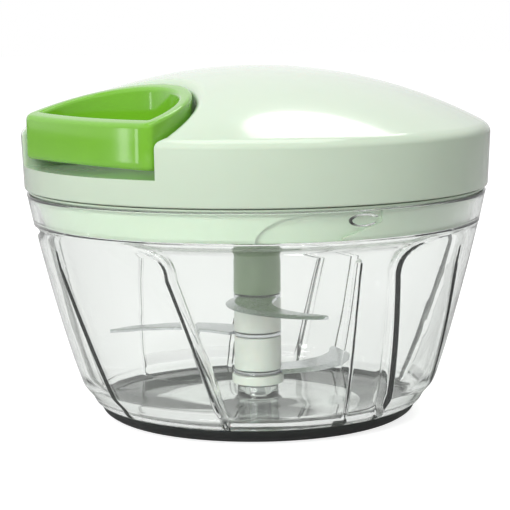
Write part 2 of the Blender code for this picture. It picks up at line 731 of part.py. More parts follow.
def make_pawl(name, side):
    # An eye round its pin and an arm that narrows to the tip behind a tooth
    low = (WHEEL_BOTTOM + PULLEY_BOTTOM) / 2 - PAWL_WIDTH / 2
    tip = Vector(PAWL_TIP) * side
    pivot = Vector(PAWL_PIVOT) * side
    back = (pivot - tip).normalized()
    wide = Vector((-back.y, back.x))
    start = math.atan2(wide.y, wide.x)
    outline = []
    for i in range(9):
        turn = start - math.pi * i / 8
        outline.append(pivot + Vector((math.cos(turn), math.sin(turn))) * PAWL_EYE_RADIUS)
    outline.append(tip - wide * PAWL_TIP_HALF_WIDTH)
    outline.append(tip + wide * PAWL_TIP_HALF_WIDTH)
    hole = circle(PAWL_PIN_RADIUS + RUNNING_GAP, 12, pivot)
    return plate(name, [[tuple(p) for p in outline], hole], low, low + PAWL_WIDTH, "steel")


def make_cord_winding():
    # The wound turns as one ring in the pulley's groove
    low = CORD_HEIGHT - PULLEY_GROOVE_WIDTH / 2 + GAP
    high = CORD_HEIGHT + PULLEY_GROOVE_WIDTH / 2 - GAP
    inner = PULLEY_GROOVE_RADIUS + GAP
    bulge = CORD_RADIUS / 2
    profile = [(WINDING_RADIUS - bulge, high), (WINDING_RADIUS, CORD_HEIGHT),
               (WINDING_RADIUS - bulge, low), (inner, low), (inner, high)]
    return turned("cord_winding", profile, 26, "cord")


def make_recoil_spring():
    # A flat strip wound in a spiral from the arbor to the spring ring
    first = ARBOR_RADIUS + GAP + SPRING_THICKNESS / 2
    last = SPRING_RING_RADIUS - GAP - SPRING_THICKNESS / 2
    count = int(18 * SPRING_TURNS)
    rings = []
    for i in range(count + 1):
        t = i / count
        azimuth = 360.0 * SPRING_TURNS * t
        middle = first + (last - first) * t
        inner = polar(middle - SPRING_THICKNESS / 2, azimuth)
        outer = polar(middle + SPRING_THICKNESS / 2, azimuth)
        low = SPRING_BOTTOM
        high = SPRING_BOTTOM + SPRING_WIDTH
        rings.append([(inner.x, inner.y, low), (outer.x, outer.y, low),
                      (outer.x, outer.y, high), (inner.x, inner.y, high)])
    return lofted("recoil_spring", rings, "steel", capped=True)


# Handle and pocket

def d_outline(inset, count=38):
    # Closed outline of the handle's D, set in evenly: a half ellipse towards the lid's middle,
    # and a bulged front with rounded corners. Points are (distance outwards, distance across).
    reach = HANDLE_REACH - inset
    half = HANDLE_HALF_WIDTH - inset
    corner = max(HANDLE_CORNER - inset, HANDLE_INNER_CORNER)
    corner_depth = corner * HANDLE_CORNER_SHAPE
    centre = reach - corner_depth
    depth = centre - (HANDLE_REACH - HANDLE_DEPTH + inset)
    flat = half - corner
    points = []
    arc = count // 2
    for i in range(arc + 1):
        turn = math.radians(-90 + 180 * i / arc)
        points.append((centre - depth * math.cos(turn), half * math.sin(turn)))
    for turn in (math.radians(a) for a in (60, 30, 0)):
        points.append((centre + corner_depth * math.cos(turn), flat + corner * math.sin(turn)))
    front = count - arc - 8
    for i in range(1, front):
        across = flat - 2 * flat * i / front
        points.append((reach + HANDLE_BULGE * (1 - (across / flat) ** 2), across))
    for turn in (math.radians(a) for a in (0, 30, 60)):
        points.append((centre + corner_depth * math.cos(turn), -flat - corner * math.sin(turn)))
    return points


def handle_top(out):
    # The handle's top slopes up towards the lid's middle, flush with the dome
    return HANDLE_FRONT_TOP + math.tan(math.radians(HANDLE_TOP_ANGLE)) * (HANDLE_REACH - out)


def lid_point(out, across, height):
    return OUTWARD * out + ACROSS * across + Vector((0, 0, height))


def make_pull_handle():
    soft = HANDLE_ROUND
    wall = HANDLE_WALL
    section = [(soft, 0, 0), (0, soft, 0), (0, -soft, 1), (soft * 0.3, -soft * 0.3, 1), (soft, 0, 1),
               (wall - soft, 0, 1), (wall - soft * 0.3, -soft * 0.3, 1), (wall, -soft, 1),
               (wall, soft, 0), (wall - soft, 0, 0)]
    columns = []
    for inset, rise, at_top in section:
        outline = d_outline(inset)
        base = [handle_top(out) if at_top else HANDLE_BOTTOM for out, across in outline]
        columns.append([lid_point(out, across, z + rise) for (out, across), z in zip(outline, base)])
    handle = lofted("pull_handle", columns, "green")
    end = HANDLE_REACH - HANDLE_DEPTH
    hole = rod("handle_cord_hole", CORD_HOLE_RADIUS, lid_point(end - wall / 2, 0, CORD_HEIGHT),
               lid_point(end + wall * 1.5, 0, CORD_HEIGHT), 12)
    cut(handle, hole)
    return handle


def dome_height(radius):
    # Height of the dome's outer face, carried on flat past the shoulder
    radius = min(radius, COVER_SHOULDER_RADIUS - COVER_SHOULDER_REACH)
    drop = COVER_DOME_RADIUS - math.sqrt(COVER_DOME_RADIUS ** 2 - radius ** 2)
    return COVER_APEX_HEIGHT - drop


def pocket_outline(grow):
    # The handle's outline with clearance, open past the lid's side
    half = HANDLE_HALF_WIDTH + POCKET_CLEARANCE + grow
    centre = HANDLE_REACH - HANDLE_CORNER * HANDLE_CORNER_SHAPE
    depth = HANDLE_DEPTH - HANDLE_CORNER * HANDLE_CORNER_SHAPE + POCKET_CLEARANCE + grow
    outside = COVER_BOTTOM_RADIUS * 1.3
    points = [(outside, -half)]
    steps = 22
    for i in range(steps + 1):
        turn = math.radians(-90 + 180 * i / steps)
        points.append((centre - depth * math.cos(turn), half * math.sin(turn)))
    points.append((outside, half))
    return points


def pocket_solid(name, grow):
    # Straight walls up from the floor, rounded outwards where they meet the dome
    floor = POCKET_FLOOR - grow
    flare = POCKET_FLARE
    rows = [(0.0, None), (0.0, -flare), (0.25 * flare, -0.45 * flare), (0.62 * flare, -0.12 * flare),
            (1.45 * flare, 0.35 * flare), (1.6 * flare, 8 * flare)]
    rings = []
    for widen, rise in rows:
        ring = []
        for out, across in pocket_outline(grow + widen):
            if rise is None:
                height = floor
            else:
                height = dome_height(math.hypot(out, across)) - grow + rise
            ring.append(lid_point(out, across, height))
        rings.append(ring)
    return lofted(name, rings, capped=True)


# Lid covers

def shoulder(inset, steps, corner_steps):
    # Profile of the dome and shoulder from the middle to the side wall, set in by inset
    start = COVER_SHOULDER_RADIUS - COVER_SHOULDER_REACH
    radius = COVER_DOME_RADIUS - inset
    centre = COVER_APEX_HEIGHT - COVER_DOME_RADIUS
    points = []
    for i in range(steps + 1):
        r = (start - inset * 0.4) * i / steps
        points.append((r, centre + math.sqrt(radius ** 2 - r ** 2)))
    corner = (COVER_SHOULDER_RADIUS - inset, points[-1][1] - 0.0012)
    end = (COVER_SHOULDER_RADIUS - inset, COVER_SHOULDER_HEIGHT - inset * 0.5)
    first = points[-1]
    for i in range(1, corner_steps + 1):
        t = i / corner_steps
        points.append(tuple(first[k] * (1 - t) ** 2 + 2 * corner[k] * t * (1 - t) + end[k] * t * t
                            for k in (0, 1)))
    return points


def make_top_cover():
    profile = shoulder(0.0, 4, 3)
    edge = COVER_WALL / 4
    profile += [(COVER_BOTTOM_RADIUS, COVER_BOTTOM_HEIGHT + edge),
                (COVER_BOTTOM_RADIUS - edge, COVER_BOTTOM_HEIGHT), (0.0, COVER_BOTTOM_HEIGHT)]
    cover = turned_mesh("top_cover", profile, COVER_STEPS, "mint", closed=False)

    seat = BOWL_RIM_RADIUS - BOWL_WALL + SKIRT_PLAY / 2
    inner = shoulder(COVER_WALL, 3, 2)
    seat_top = COVER_BOTTOM_HEIGHT + COVER_SEAT_DEPTH
    below = COVER_BOTTOM_HEIGHT - COVER_WALL
    inner += [(seat - COVER_WALL / 4, seat_top), (seat, seat_top), (seat, below), (0.0, below)]
    hollow = turned_mesh("cover_hollow", inner, COVER_STEPS, None, closed=False)
    cut(hollow, pocket_solid("pocket_casing", POCKET_WALL))

    # Posts for the screws, the ring that holds the spring and the boss of the spindle stay solid
    bottom = PLATE_BOTTOM + PAD_HEIGHT + GAP
    for i, offset in enumerate(SCREW_OFFSET_ANGLES):
        at = PULL_AZIMUTH + offset
        cut(hollow, rod("post_%d" % (i + 1), POST_RADIUS,
                        polar(SCREW_CIRCLE_RADIUS, at, COVER_BOTTOM_HEIGHT),
                        polar(SCREW_CIRCLE_RADIUS, at, COVER_APEX_HEIGHT), 10))
    outer = SPRING_RING_RADIUS + SPRING_RING_WALL
    ring_top = COVER_APEX_HEIGHT - COVER_WALL / 4
    ring_bottom = PULLEY_DISC_TOP + SPRING_CLEARANCE / 2
    cut(hollow, turned_mesh("spring_ring", [(outer, ring_top), (outer, ring_bottom),
                                            (SPRING_RING_RADIUS, ring_bottom),
                                            (SPRING_RING_RADIUS, ring_top)], 32))
    cut(hollow, rod("spindle_boss", BORE_RADIUS + COVER_WALL, (0, 0, ARBOR_TOP + GAP), (0, 0, ring_top), 16))
    cut(cover, pocket_solid("pocket", 0.0), hollow)
    for i, offset in enumerate(SCREW_OFFSET_ANGLES):
        at = PULL_AZIMUTH + offset
        join(cover, rod("post_foot_%d" % (i + 1), POST_RADIUS, polar(SCREW_CIRCLE_RADIUS, at, bottom),
                        polar(SCREW_CIRCLE_RADIUS, at, COVER_BOTTOM_HEIGHT + PAD_HEIGHT), 10))
        cut(cover, rod("post_bore_%d" % (i + 1), SCREW_RADIUS + GAP,
                       polar(SCREW_CIRCLE_RADIUS, at, bottom - POST_RADIUS / 3),
                       polar(SCREW_CIRCLE_RADIUS, at, bottom + POST_BORE_DEPTH), 8))
    cut(cover, rod("spindle_bore", BORE_RADIUS, (0, 0, ARBOR_TOP - BORE_RADIUS),
                   (0, 0, SPINDLE_TOP + GAP), 16))
    wall_out = HANDLE_REACH - HANDLE_DEPTH - POCKET_CLEARANCE
    cut(cover, rod("guide_hole", GUIDE_RADIUS + GAP, lid_point(wall_out - POCKET_WALL * 2, 0, CORD_HEIGHT),
                   lid_point(wall_out + POCKET_CLEARANCE / 2, 0, CORD_HEIGHT), 16))
    return cover


def skirt_radius(z):
    return bowl_inner_radius(z) - SKIRT_PLAY


def ramp_solid(name, azimuth):
    # The space that a lug passes through as the lid turns and rises, open at the skirt's bottom
    per_degree = LID_RISE_PER_RADIAN * math.radians(1)
    radius = bowl_inner_radius(LUG_CENTRE)
    slope = LID_RISE_PER_RADIAN / radius
    across = slope / math.hypot(slope, 1.0)
    upright = 1.0 / math.hypot(slope, 1.0)
    reach = math.hypot(LUG_LENGTH / 2 * across, LUG_HEIGHT / 2 * upright) + GAP
    below = reach / upright
    right = math.degrees((LUG_LENGTH / 2 + GAP) / radius) + 0.4
    bottom = SKIRT_BOTTOM - SKIRT_WALL / 2
    top = LUG_CENTRE + LUG_HEIGHT / 2 + GAP
    rings = []
    count = 11
    for i in range(count + 1):
        turn = -right + (RAMP_LEFT_ANGLE + right) * i / count
        late = max(turn - (RAMP_LEFT_ANGLE - RAMP_ROUND_ANGLE), 0.0) / RAMP_ROUND_ANGLE
        high = bottom + (top - bottom) * math.sqrt(max(1.0 - late * late, 0.004))
        low = min(max(LUG_CENTRE - below - per_degree * turn, bottom), high - RAMP_DEPTH / 5)
        at = azimuth - turn
        outside = bowl_radius(BOWL_HEIGHT)
        rings.append([polar(skirt_radius(low) - RAMP_DEPTH, at, low), polar(outside, at, low),
                      polar(outside, at, high), polar(skirt_radius(high) - RAMP_DEPTH, at, high)])
    return lofted(name, rings, capped=True)


def make_lower_cover():
    lip = BOWL_RIM_RADIUS - SKIRT_PLAY
    flange = BOWL_RIM_RADIUS - BOWL_WALL + SKIRT_PLAY / 2 - GAP
    tower = TOWER_BORE_RADIUS + TOWER_WALL
    seam = BOWL_HEIGHT - SKIRT_DEPTH / 7
    profile = [
        (flange, FLANGE_TOP), (flange, FLANGE_BOTTOM + FLANGE_LIP), (lip, FLANGE_BOTTOM + FLANGE_LIP),
        (lip, FLANGE_BOTTOM), (skirt_radius(seam), FLANGE_BOTTOM), (skirt_radius(seam), seam),
        (skirt_radius(SKIRT_BOTTOM), SKIRT_BOTTOM),
        (skirt_radius(SKIRT_BOTTOM) - SKIRT_WALL, SKIRT_BOTTOM),
        (skirt_radius(SKIRT_BOTTOM) - SKIRT_WALL * 1.2, PLATE_BOTTOM), (TOWER_BORE_RADIUS, PLATE_BOTTOM),
        (TOWER_BORE_RADIUS, TOWER_TOP), (tower, TOWER_TOP), (tower, PLATE_TOP),
        (skirt_radius(SKIRT_BOTTOM) - SKIRT_WALL, PLATE_TOP),
        (skirt_radius(seam) - SKIRT_WALL, seam), (skirt_radius(seam) - SKIRT_WALL, FLANGE_TOP),
    ]
    cover = turned_mesh("lower_cover", profile, COVER_STEPS, "mint")
    for i in range(FOLD):
        cut(cover, ramp_solid("ramp_%d" % (i + 1), LUG_AZIMUTH + 360.0 / FOLD * i))
    for i, offset in enumerate(SCREW_OFFSET_ANGLES):
        at = PULL_AZIMUTH + offset
        join(cover, rod("pad_%d" % (i + 1), PAD_RADIUS,
                        polar(SCREW_CIRCLE_RADIUS, at, PLATE_BOTTOM + LOWER_PLATE / 4),
                        polar(SCREW_CIRCLE_RADIUS, at, PLATE_BOTTOM + PAD_HEIGHT), 12))
        cut(cover, rod("pad_bore_%d" % (i + 1), SCREW_RADIUS + GAP,
                       polar(SCREW_CIRCLE_RADIUS, at, PLATE_BOTTOM - PAD_HEIGHT / 4),
                       polar(SCREW_CIRCLE_RADIUS, at, PLATE_BOTTOM + PAD_HEIGHT * 1.25), 8))
        cut(cover, rod("head_bore_%d" % (i + 1), SCREW_HEAD_RADIUS + GAP,
                       polar(SCREW_CIRCLE_RADIUS, at, PLATE_BOTTOM - PAD_HEIGHT / 4),
                       polar(SCREW_CIRCLE_RADIUS, at, PLATE_BOTTOM + SCREW_HEAD + 2 * GAP), 10))
    return cover


def make_cover_screw(name, offset):
    low = PLATE_BOTTOM + GAP
    profile = [(0.0, low + SCREW_LENGTH), (SCREW_RADIUS * 0.6, low + SCREW_LENGTH),
               (SCREW_RADIUS, low + SCREW_LENGTH - SCREW_RADIUS / 2), (SCREW_RADIUS, low + SCREW_HEAD),
               (SCREW_HEAD_RADIUS, low + SCREW_HEAD), (SCREW_HEAD_RADIUS, low), (0.0, low)]
    screw = turned(name, profile, 10, "steel", closed=False)
    screw.location = polar(SCREW_CIRCLE_RADIUS, PULL_AZIMUTH + offset)
    return screw


# Cord, knot and guide

def make_cord_guide():
    wall_out = HANDLE_REACH - HANDLE_DEPTH - POCKET_CLEARANCE
    wall_in = wall_out - POCKET_WALL
    length = POCKET_WALL + GAP * 1.5
    profile = [(GUIDE_RADIUS, length), (GUIDE_RADIUS, 0.0), (GUIDE_FLANGE_RADIUS, 0.0),
               (GUIDE_FLANGE_RADIUS, -GUIDE_FLANGE), (GUIDE_BORE_RADIUS * 1.6, -GUIDE_FLANGE),
               (GUIDE_BORE_RADIUS, -GUIDE_FLANGE / 4), (GUIDE_BORE_RADIUS, length - GUIDE_FLANGE / 2),
               (GUIDE_BORE_RADIUS * 1.5, length)]
    guide = turned_mesh("cord_guide", profile, 12, "steel")
    turn = OUTWARD.to_track_quat("Z", "Y").to_matrix().to_4x4()
    guide.data.transform(Matrix.Translation(lid_point(wall_in - GAP * 2, 0, CORD_HEIGHT)) @ turn)
    return guide


def knot_centre():
    return HANDLE_REACH - HANDLE_DEPTH + HANDLE_WALL + GAP + KNOT_RADIUS * 0.8


def make_cord_knot():
    work = bmesh.new()
    bmesh.ops.create_uvsphere(work, u_segments=12, v_segments=6, radius=KNOT_RADIUS)
    turn = OUTWARD.to_track_quat("Z", "Y").to_matrix().to_4x4()
    work.transform(turn @ Matrix.Diagonal((1.0, 1.0, 0.8, 1.0)))
    work.transform(Matrix.Translation(lid_point(knot_centre(), 0, CORD_HEIGHT)))
    mesh = bpy.data.meshes.new("cord_knot")
    work.to_mesh(mesh)
    work.free()
    knot = place(mesh, "cord_knot", "cord")
    shade(knot)
    return knot


def make_cord_run():
    # From the winding's side, through the guide and the handle's wall, to the knot
    start_radius = WINDING_RADIUS + GAP + CORD_RADIUS
    guide_in = HANDLE_REACH - HANDLE_DEPTH - POCKET_CLEARANCE - POCKET_WALL - GUIDE_FLANGE * 2
    end = knot_centre() - KNOT_RADIUS * 0.8 - GAP
    tangent = math.acos(start_radius / guide_in)
    touch = Vector((start_radius * math.cos(tangent), start_radius * math.sin(tangent)))
    bend = Vector((guide_in, 0.0))
    reach = GUIDE_FLANGE * 2.2
    after = Vector((guide_in + reach, 0.0))
    points = [touch]
    near = bend + (touch - bend).normalized() * reach
    for i in range(7):
        t = i / 6
        points.append(near * (1 - t) ** 2 + bend * (2 * t * (1 - t)) + after * t * t)
    points.append(Vector((end, 0.0)))
    curve = bpy.data.curves.new("cord_run", "CURVE")
    curve.dimensions = "3D"
    curve.bevel_depth = CORD_RADIUS
    curve.bevel_resolution = 2
    curve.use_fill_caps = True
    spline = curve.splines.new("POLY")
    spline.points.add(len(points) - 1)
    for target, point in zip(spline.points, points):
        target.co = (*lid_point(point.x, point.y, CORD_HEIGHT), 1.0)
    route = bpy.data.objects.new("cord_run_route", curve)
    CUTTERS.objects.link(route)
    mesh = evaluated(route)
    bpy.data.objects.remove(route, do_unlink=True)
    mesh.materials.clear()
    cord = place(mesh, "cord_run", "cord")
    shade(cord)
    return cord


make_bowl()
make_base_ring()
make_centre_pin()
make_blade_shaft()
for index, blade_name in enumerate(("blade_lower", "blade_middle", "blade_upper")):
    make_blade(blade_name, index)
make_spacer("spacer_lower", 0)
make_spacer("spacer_upper", 1)
make_stem_sleeve()
make_drive_hub()
make_thrust_washer()
make_spindle()
make_pulley()
make_pawl("pawl_1", 1)
make_pawl("pawl_2", -1)
make_cord_winding()
make_recoil_spring()
make_pull_handle()
make_top_cover()
make_lower_cover()
for index, screw_offset in enumerate(SCREW_OFFSET_ANGLES):
    make_cover_screw("cover_screw_%d" % (index + 1), screw_offset)
make_cord_guide()
make_cord_knot()
make_cord_run()
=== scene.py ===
# Pull-cord food chopper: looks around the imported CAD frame, in metres
import json
import math

import bmesh
import bpy
import numpy as np
from mathutils import Matrix, Vector

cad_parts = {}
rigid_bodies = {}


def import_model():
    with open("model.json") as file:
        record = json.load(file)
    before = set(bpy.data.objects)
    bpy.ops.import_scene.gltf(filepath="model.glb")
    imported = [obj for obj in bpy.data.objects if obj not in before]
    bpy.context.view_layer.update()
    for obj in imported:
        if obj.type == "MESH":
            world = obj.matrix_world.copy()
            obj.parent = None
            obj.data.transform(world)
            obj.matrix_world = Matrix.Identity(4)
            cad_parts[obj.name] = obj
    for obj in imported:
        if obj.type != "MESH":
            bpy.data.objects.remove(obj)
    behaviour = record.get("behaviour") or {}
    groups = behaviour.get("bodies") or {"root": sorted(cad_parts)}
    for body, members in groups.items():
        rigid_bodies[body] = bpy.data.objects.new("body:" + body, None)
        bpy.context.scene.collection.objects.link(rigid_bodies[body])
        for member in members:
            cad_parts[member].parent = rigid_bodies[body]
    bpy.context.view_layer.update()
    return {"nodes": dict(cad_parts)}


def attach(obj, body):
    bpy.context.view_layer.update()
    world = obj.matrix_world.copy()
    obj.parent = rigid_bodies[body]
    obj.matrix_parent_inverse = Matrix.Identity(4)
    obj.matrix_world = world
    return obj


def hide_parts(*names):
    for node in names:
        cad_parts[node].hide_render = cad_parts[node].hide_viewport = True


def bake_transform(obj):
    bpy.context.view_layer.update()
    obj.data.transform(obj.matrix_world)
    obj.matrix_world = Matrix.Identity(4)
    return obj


for item in list(bpy.data.objects):
    bpy.data.objects.remove(item, do_unlink=True)

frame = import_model()
nodes = frame["nodes"]
mm = 0.001
print("frame:", len(nodes), "CAD nodes")

pullAzimuth = 220.0  # the way the handle is pulled, in degrees from +X
outward = np.array([math.cos(math.radians(pullAzimuth)), math.sin(math.radians(pullAzimuth)), 0.0])
across = np.array([-outward[1], outward[0], 0.0])
cordHeight = 77.9  # of the cord's middle, in millimetres


def newObject(name, data, material=None):
    # An object in the scene, and its mesh's material where it is given
    item = bpy.data.objects.new(name, data)
    bpy.context.scene.collection.objects.link(item)
    if material:
        data.materials.append(material)
    return item


# Camera: lens fitted to a square 510 by 510 picture, a little above the lid, a small roll as in the
# photograph

view = {"place": (-0.0005, -0.510, 0.1134), "down": 7.87, "roll": -0.6, "lens": 134.1, "sensor": 36.0}


def makeCamera(view):
    data = bpy.data.cameras.new("camera")
    data.lens = view["lens"]
    data.sensor_width = view["sensor"]
    data.clip_start = 0.01
    camera = newObject("camera", data)
    turn = Matrix.Rotation(math.radians(90 - view["down"]), 4, "X")
    roll = Matrix.Rotation(math.radians(view["roll"]), 4, "Z")
    camera.matrix_world = Matrix.Translation(view["place"]) @ turn @ roll
    bpy.context.scene.camera = camera


makeCamera(view)
print("camera placed")


# Nodes and materials

def hexLinear(code):
    # sRGB hex digits to a linear colour with alpha
    srgb = np.array([int(code[i:i + 2], 16) for i in (0, 2, 4)]) / 255
    linear = np.where(srgb <= 0.04045, srgb / 12.92, ((srgb + 0.055) / 1.055) ** 2.4)
    return (*linear.tolist(), 1.0)


def addNode(tree, kind, settings=None, links=None):
    # A shader node with its settings, which are inputs or attributes, and the links to its inputs
    node = tree.nodes.new("ShaderNode" + kind)
    for key, value in (settings or {}).items():
        if isinstance(key, int) or key in node.inputs:
            node.inputs[key].default_value = value
        else:
            setattr(node, key, value)
    for key, source in (links or {}).items():
        tree.links.new(source, node.inputs[key])
    return node


def mathNode(tree, operation, first, second):
    return addNode(tree, "Math", {"operation": operation}, {0: first, 1: second}).outputs[0]


def mapNode(tree, source, before, after=(0.0, 1.0), kind="LINEAR"):
    # A value carried from one range to another, and held at its ends
    return addNode(tree, "MapRange", {
        "From Min": before[0], "From Max": before[1], "To Min": after[0], "To Max": after[1],
        "interpolation_type": kind}, {"Value": source}).outputs[0]


def mixShaders(tree, share, first, second):
    return addNode(tree, "MixShader", None, {0: share, 1: first, 2: second}).outputs[0]


def noiseNode(tree, size, detail, place=None):
    # Noise with features of a size in millimetres, in the piece's own coordinates unless others are given
    if place is None:
        place = addNode(tree, "TexCoord").outputs["Object"]
    return addNode(tree, "TexNoise", {"Scale": 1 / (size * mm), "Detail": detail},
                   {"Vector": place}).outputs["Fac"]


def setBump(tree, shader, height, strength, depth):
    # Relief in the shading only, its depth in millimetres
    bump = addNode(tree, "Bump", {"Strength": strength, "Distance": depth * mm}, {"Height": height})
    tree.links.new(bump.outputs[0], shader.inputs["Normal"])


def setGloss(tree, shader, value, low, high):
    # Roughness between two amounts, following the middle of a noise
    tree.links.new(mapNode(tree, value, (0.3, 0.7), (low, high)), shader.inputs["Roughness"])


def setTint(tree, shader, value, first, second):
    tint = addNode(tree, "Mix", {"data_type": "RGBA"}, {0: value})
    tint.inputs[6].default_value = hexLinear(first)
    tint.inputs[7].default_value = hexLinear(second)
    tree.links.new(tint.outputs[2], shader.inputs["Base Color"])


def startMaterial(name, settings):
    material = bpy.data.materials.new(name)
    material.use_nodes = True
    tree = material.node_tree
    shader = tree.nodes["Principled BSDF"]
    for key, value in settings.items():
        shader.inputs[key].default_value = value
    return material, tree, shader


def mouldedPlastic(name, look):
    # Injection-moulded plastic: faint uneven tint, the mould's fine spark-eroded grain as bump,
    # and gloss that varies a little from handling
    material, tree, shader = startMaterial(name, {
        "IOR": look["ior"], "Subsurface Weight": look.get("glow", 0.0), "Subsurface Scale": 0.002,
        "Coat Weight": look.get("coat", 0.0), "Coat Roughness": 0.06})
    cloud = noiseNode(tree, look["cloud"], 3.0)
    setTint(tree, shader, cloud, look["colour"], look["shade"])
    setGloss(tree, shader, cloud, look["roughness"] - look["spread"], look["roughness"] + look["spread"])
    setBump(tree, shader, noiseNode(tree, look["grain"], 4.0), look["bump"], look["depth"])
    return material


def clearPlastic(name, look):
    # Moulded SAN: clear and glossy, with slight flow waves in its surface and a faint haze, and
    # darker where light runs along inside the wall, as at its edges and grooves. It lets the
    # lamps' light pass without bending it.
    material, tree, shader = startMaterial(name, {
        "Base Color": hexLinear(look["colour"]), "IOR": look["ior"], "Roughness": look["roughness"],
        "Transmission Weight": look["clear"]})
    output = tree.nodes["Material Output"].inputs
    body = addNode(tree, "VolumeAbsorption", {
        "Color": hexLinear(look["edgeColour"]), "Density": look["edgeDensity"]})
    tree.links.new(body.outputs[0], output["Volume"])
    setBump(tree, shader, noiseNode(tree, look["wave"], 1.0), look["bump"], look["depth"])
    path = addNode(tree, "LightPath")
    through = addNode(tree, "BsdfTransparent", {"Color": hexLinear(look["through"])})
    tree.links.new(mixShaders(tree, path.outputs["Is Shadow Ray"], shader.outputs[0], through.outputs[0]),
                   output["Surface"])
    return material


def groundSteel(name, look):
    # Stainless steel with fine grinding lines, so gloss spreads across them
    material, tree, shader = startMaterial(name, {
        "Base Color": hexLinear(look["colour"]), "Metallic": 1.0, "Anisotropic": look["stretch"]})
    place = addNode(tree, "TexCoord")
    squeezed = addNode(tree, "Mapping", {"Scale": look["lines"]},
                       {"Vector": place.outputs["Object"]})
    lines = noiseNode(tree, look["grain"], 2.0, squeezed.outputs[0])
    setGloss(tree, shader, lines, look["roughness"] * 0.75, look["roughness"] * 1.25)
    setBump(tree, shader, lines, look["bump"], 0.02)
    return material


def braidedNylon(name, look):
    # Braided cord: two sets of strands cross on the piece's own UV map, in millimetres. The gaps between
    # the strands take a darker colour, which is painted shade in the recesses.
    material, tree, shader = startMaterial(name, {"Roughness": 0.75, "Sheen Weight": 0.3})
    place = addNode(tree, "UVMap", {"uv_map": "braid"})
    bands = []
    for side in (1, -1):
        turned = addNode(tree, "Mapping", {
            "Rotation": (0, 0, side * math.radians(look["angle"]))}, {"Vector": place.outputs[0]})
        wave = {"Scale": 0.32 / look["strand"], "Distortion": 0.4, "Detail": 1.0}
        band = addNode(tree, "TexWave", wave, {"Vector": turned.outputs[0]})
        bands.append(band.outputs["Fac"])
    strands = mathNode(tree, "MAXIMUM", *bands)
    # the gaps between the strands get the darker colour: painted shade between the strands
    setTint(tree, shader, strands, look["gapPaintedShade"], look["colour"])
    setBump(tree, shader, strands, 0.8, 0.12)
    return material


sanClear = clearPlastic("clear_san_moulded", {
    "colour": "FDFEFD", "through": "EEF3EE", "ior": 1.57, "roughness": 0.012, "edgeColour": "8A9C8E",
    "edgeDensity": 42.0, "clear": 0.982, "wave": 14.0, "bump": 0.12, "depth": 0.5})
absMint = mouldedPlastic("mint_abs_moulded", {
    "colour": "CDDDC8", "shade": "C9DAC3", "ior": 1.52, "roughness": 0.16, "spread": 0.02, "cloud": 22.0,
    "grain": 0.35, "bump": 0.04, "depth": 0.02, "glow": 0.06, "coat": 0.5})
absGreen = mouldedPlastic("green_abs_gloss", {
    "colour": "78B92C", "shade": "71B327", "ior": 1.53, "roughness": 0.11, "spread": 0.02, "cloud": 12.0,
    "grain": 0.6, "bump": 0.03, "depth": 0.02, "coat": 0.3})
rubberDark = mouldedPlastic("dark_tpe_rubber", {
    "colour": "252726", "shade": "1F2120", "ior": 1.50, "roughness": 0.50, "spread": 0.07, "cloud": 9.0,
    "grain": 0.5, "bump": 0.25, "depth": 0.05})
absHub = mouldedPlastic("grey_green_abs_moulded", {
    "colour": "8FA57F", "shade": "84997A", "ior": 1.52, "roughness": 0.34, "spread": 0.04, "cloud": 8.0,
    "grain": 0.4, "bump": 0.12, "depth": 0.03, "coat": 0.1})
pomWhite = mouldedPlastic("white_pom_moulded", {
    "colour": "E6E8E2", "shade": "DEE1DA", "ior": 1.48, "roughness": 0.32, "spread": 0.04, "cloud": 8.0,
    "grain": 0.4, "bump": 0.08, "depth": 0.03, "glow": 0.1})
steelBlade = groundSteel("stainless_steel_ground", {
    "colour": "D2D4D6", "stretch": 0.5, "lines": (0.25, 1.0, 1.0), "grain": 0.28, "roughness": 0.24,
    "bump": 0.25})
steelBright = groundSteel("steel_turned_bright", {
    "colour": "C9CBCD", "stretch": 0.3, "lines": (1.0, 1.0, 3.0), "grain": 0.3, "roughness": 0.2,
    "bump": 0.15})
# the gap colour is painted shade between the strands
nylonCord = braidedNylon("nylon_cord_braided", {
    "colour": "E9E8E0", "gapPaintedShade": "A9A79C", "strand": 0.42, "angle": 38})
print("materials made")


# Surfaces from arrays. Angles are in degrees, lengths in millimetres until they become a mesh.

def finish(item, angle=32.0, copied=False):
    # Welds the seams and poles, turns the faces outwards and keeps edges sharper than the angle.
    # A solid copied from the CAD has its flat faces joined and carries one material.
    work = bmesh.new()
    work.from_mesh(item.data)
    bmesh.ops.remove_doubles(work, verts=work.verts, dist=0.002 * mm)
    if not copied:
        bmesh.ops.dissolve_degenerate(work, edges=work.edges, dist=0.0005 * mm)
    bmesh.ops.recalc_face_normals(work, faces=work.faces)
    if copied:
        bmesh.ops.dissolve_limit(work, angle_limit=math.radians(1.0), verts=work.verts, edges=work.edges)
        for face in work.faces:
            face.material_index = 0
    work.to_mesh(item.data)
    work.free()
    item.data.shade_smooth()
    item.data.set_sharp_from_angle(angle=math.radians(angle))
    return item


def polar(radius, turn, height):
    # Points by their radius, azimuth in radians and height
    return np.stack(np.broadcast_arrays(radius * np.cos(turn), radius * np.sin(turn), height), axis=-1)


def gridPiece(name, points, material, angle=32.0, wrapRows=True, wrapColumns=False):
    # Quads over a grid of points (rows, columns, 3), in millimetres, joined round where it wraps
    rows, columns = points.shape[:2]
    i = np.arange(rows if wrapRows else rows - 1)
    j = np.arange(columns if wrapColumns else columns - 1)
    i, j = np.meshgrid(i, j, indexing="ij")
    below, beside = (i + 1) % rows, (j + 1) % columns
    quads = np.stack([i * columns + j, below * columns + j, below * columns + beside,
                      i * columns + beside], axis=-1).reshape(-1, 4)
    mesh = bpy.data.meshes.new(name)
    mesh.vertices.add(rows * columns)
    mesh.vertices.foreach_set("co", (points.reshape(-1, 3) * mm).astype(np.float32).ravel())
    mesh.loops.add(quads.size)
    mesh.loops.foreach_set("vertex_index", quads.astype(np.int32).ravel())
    mesh.polygons.add(len(quads))
    mesh.polygons.foreach_set("loop_start", np.arange(0, quads.size, 4, dtype=np.int32))
    mesh.update(calc_edges=True)
    mesh.validate()
    return finish(newObject(name, mesh, material), angle)


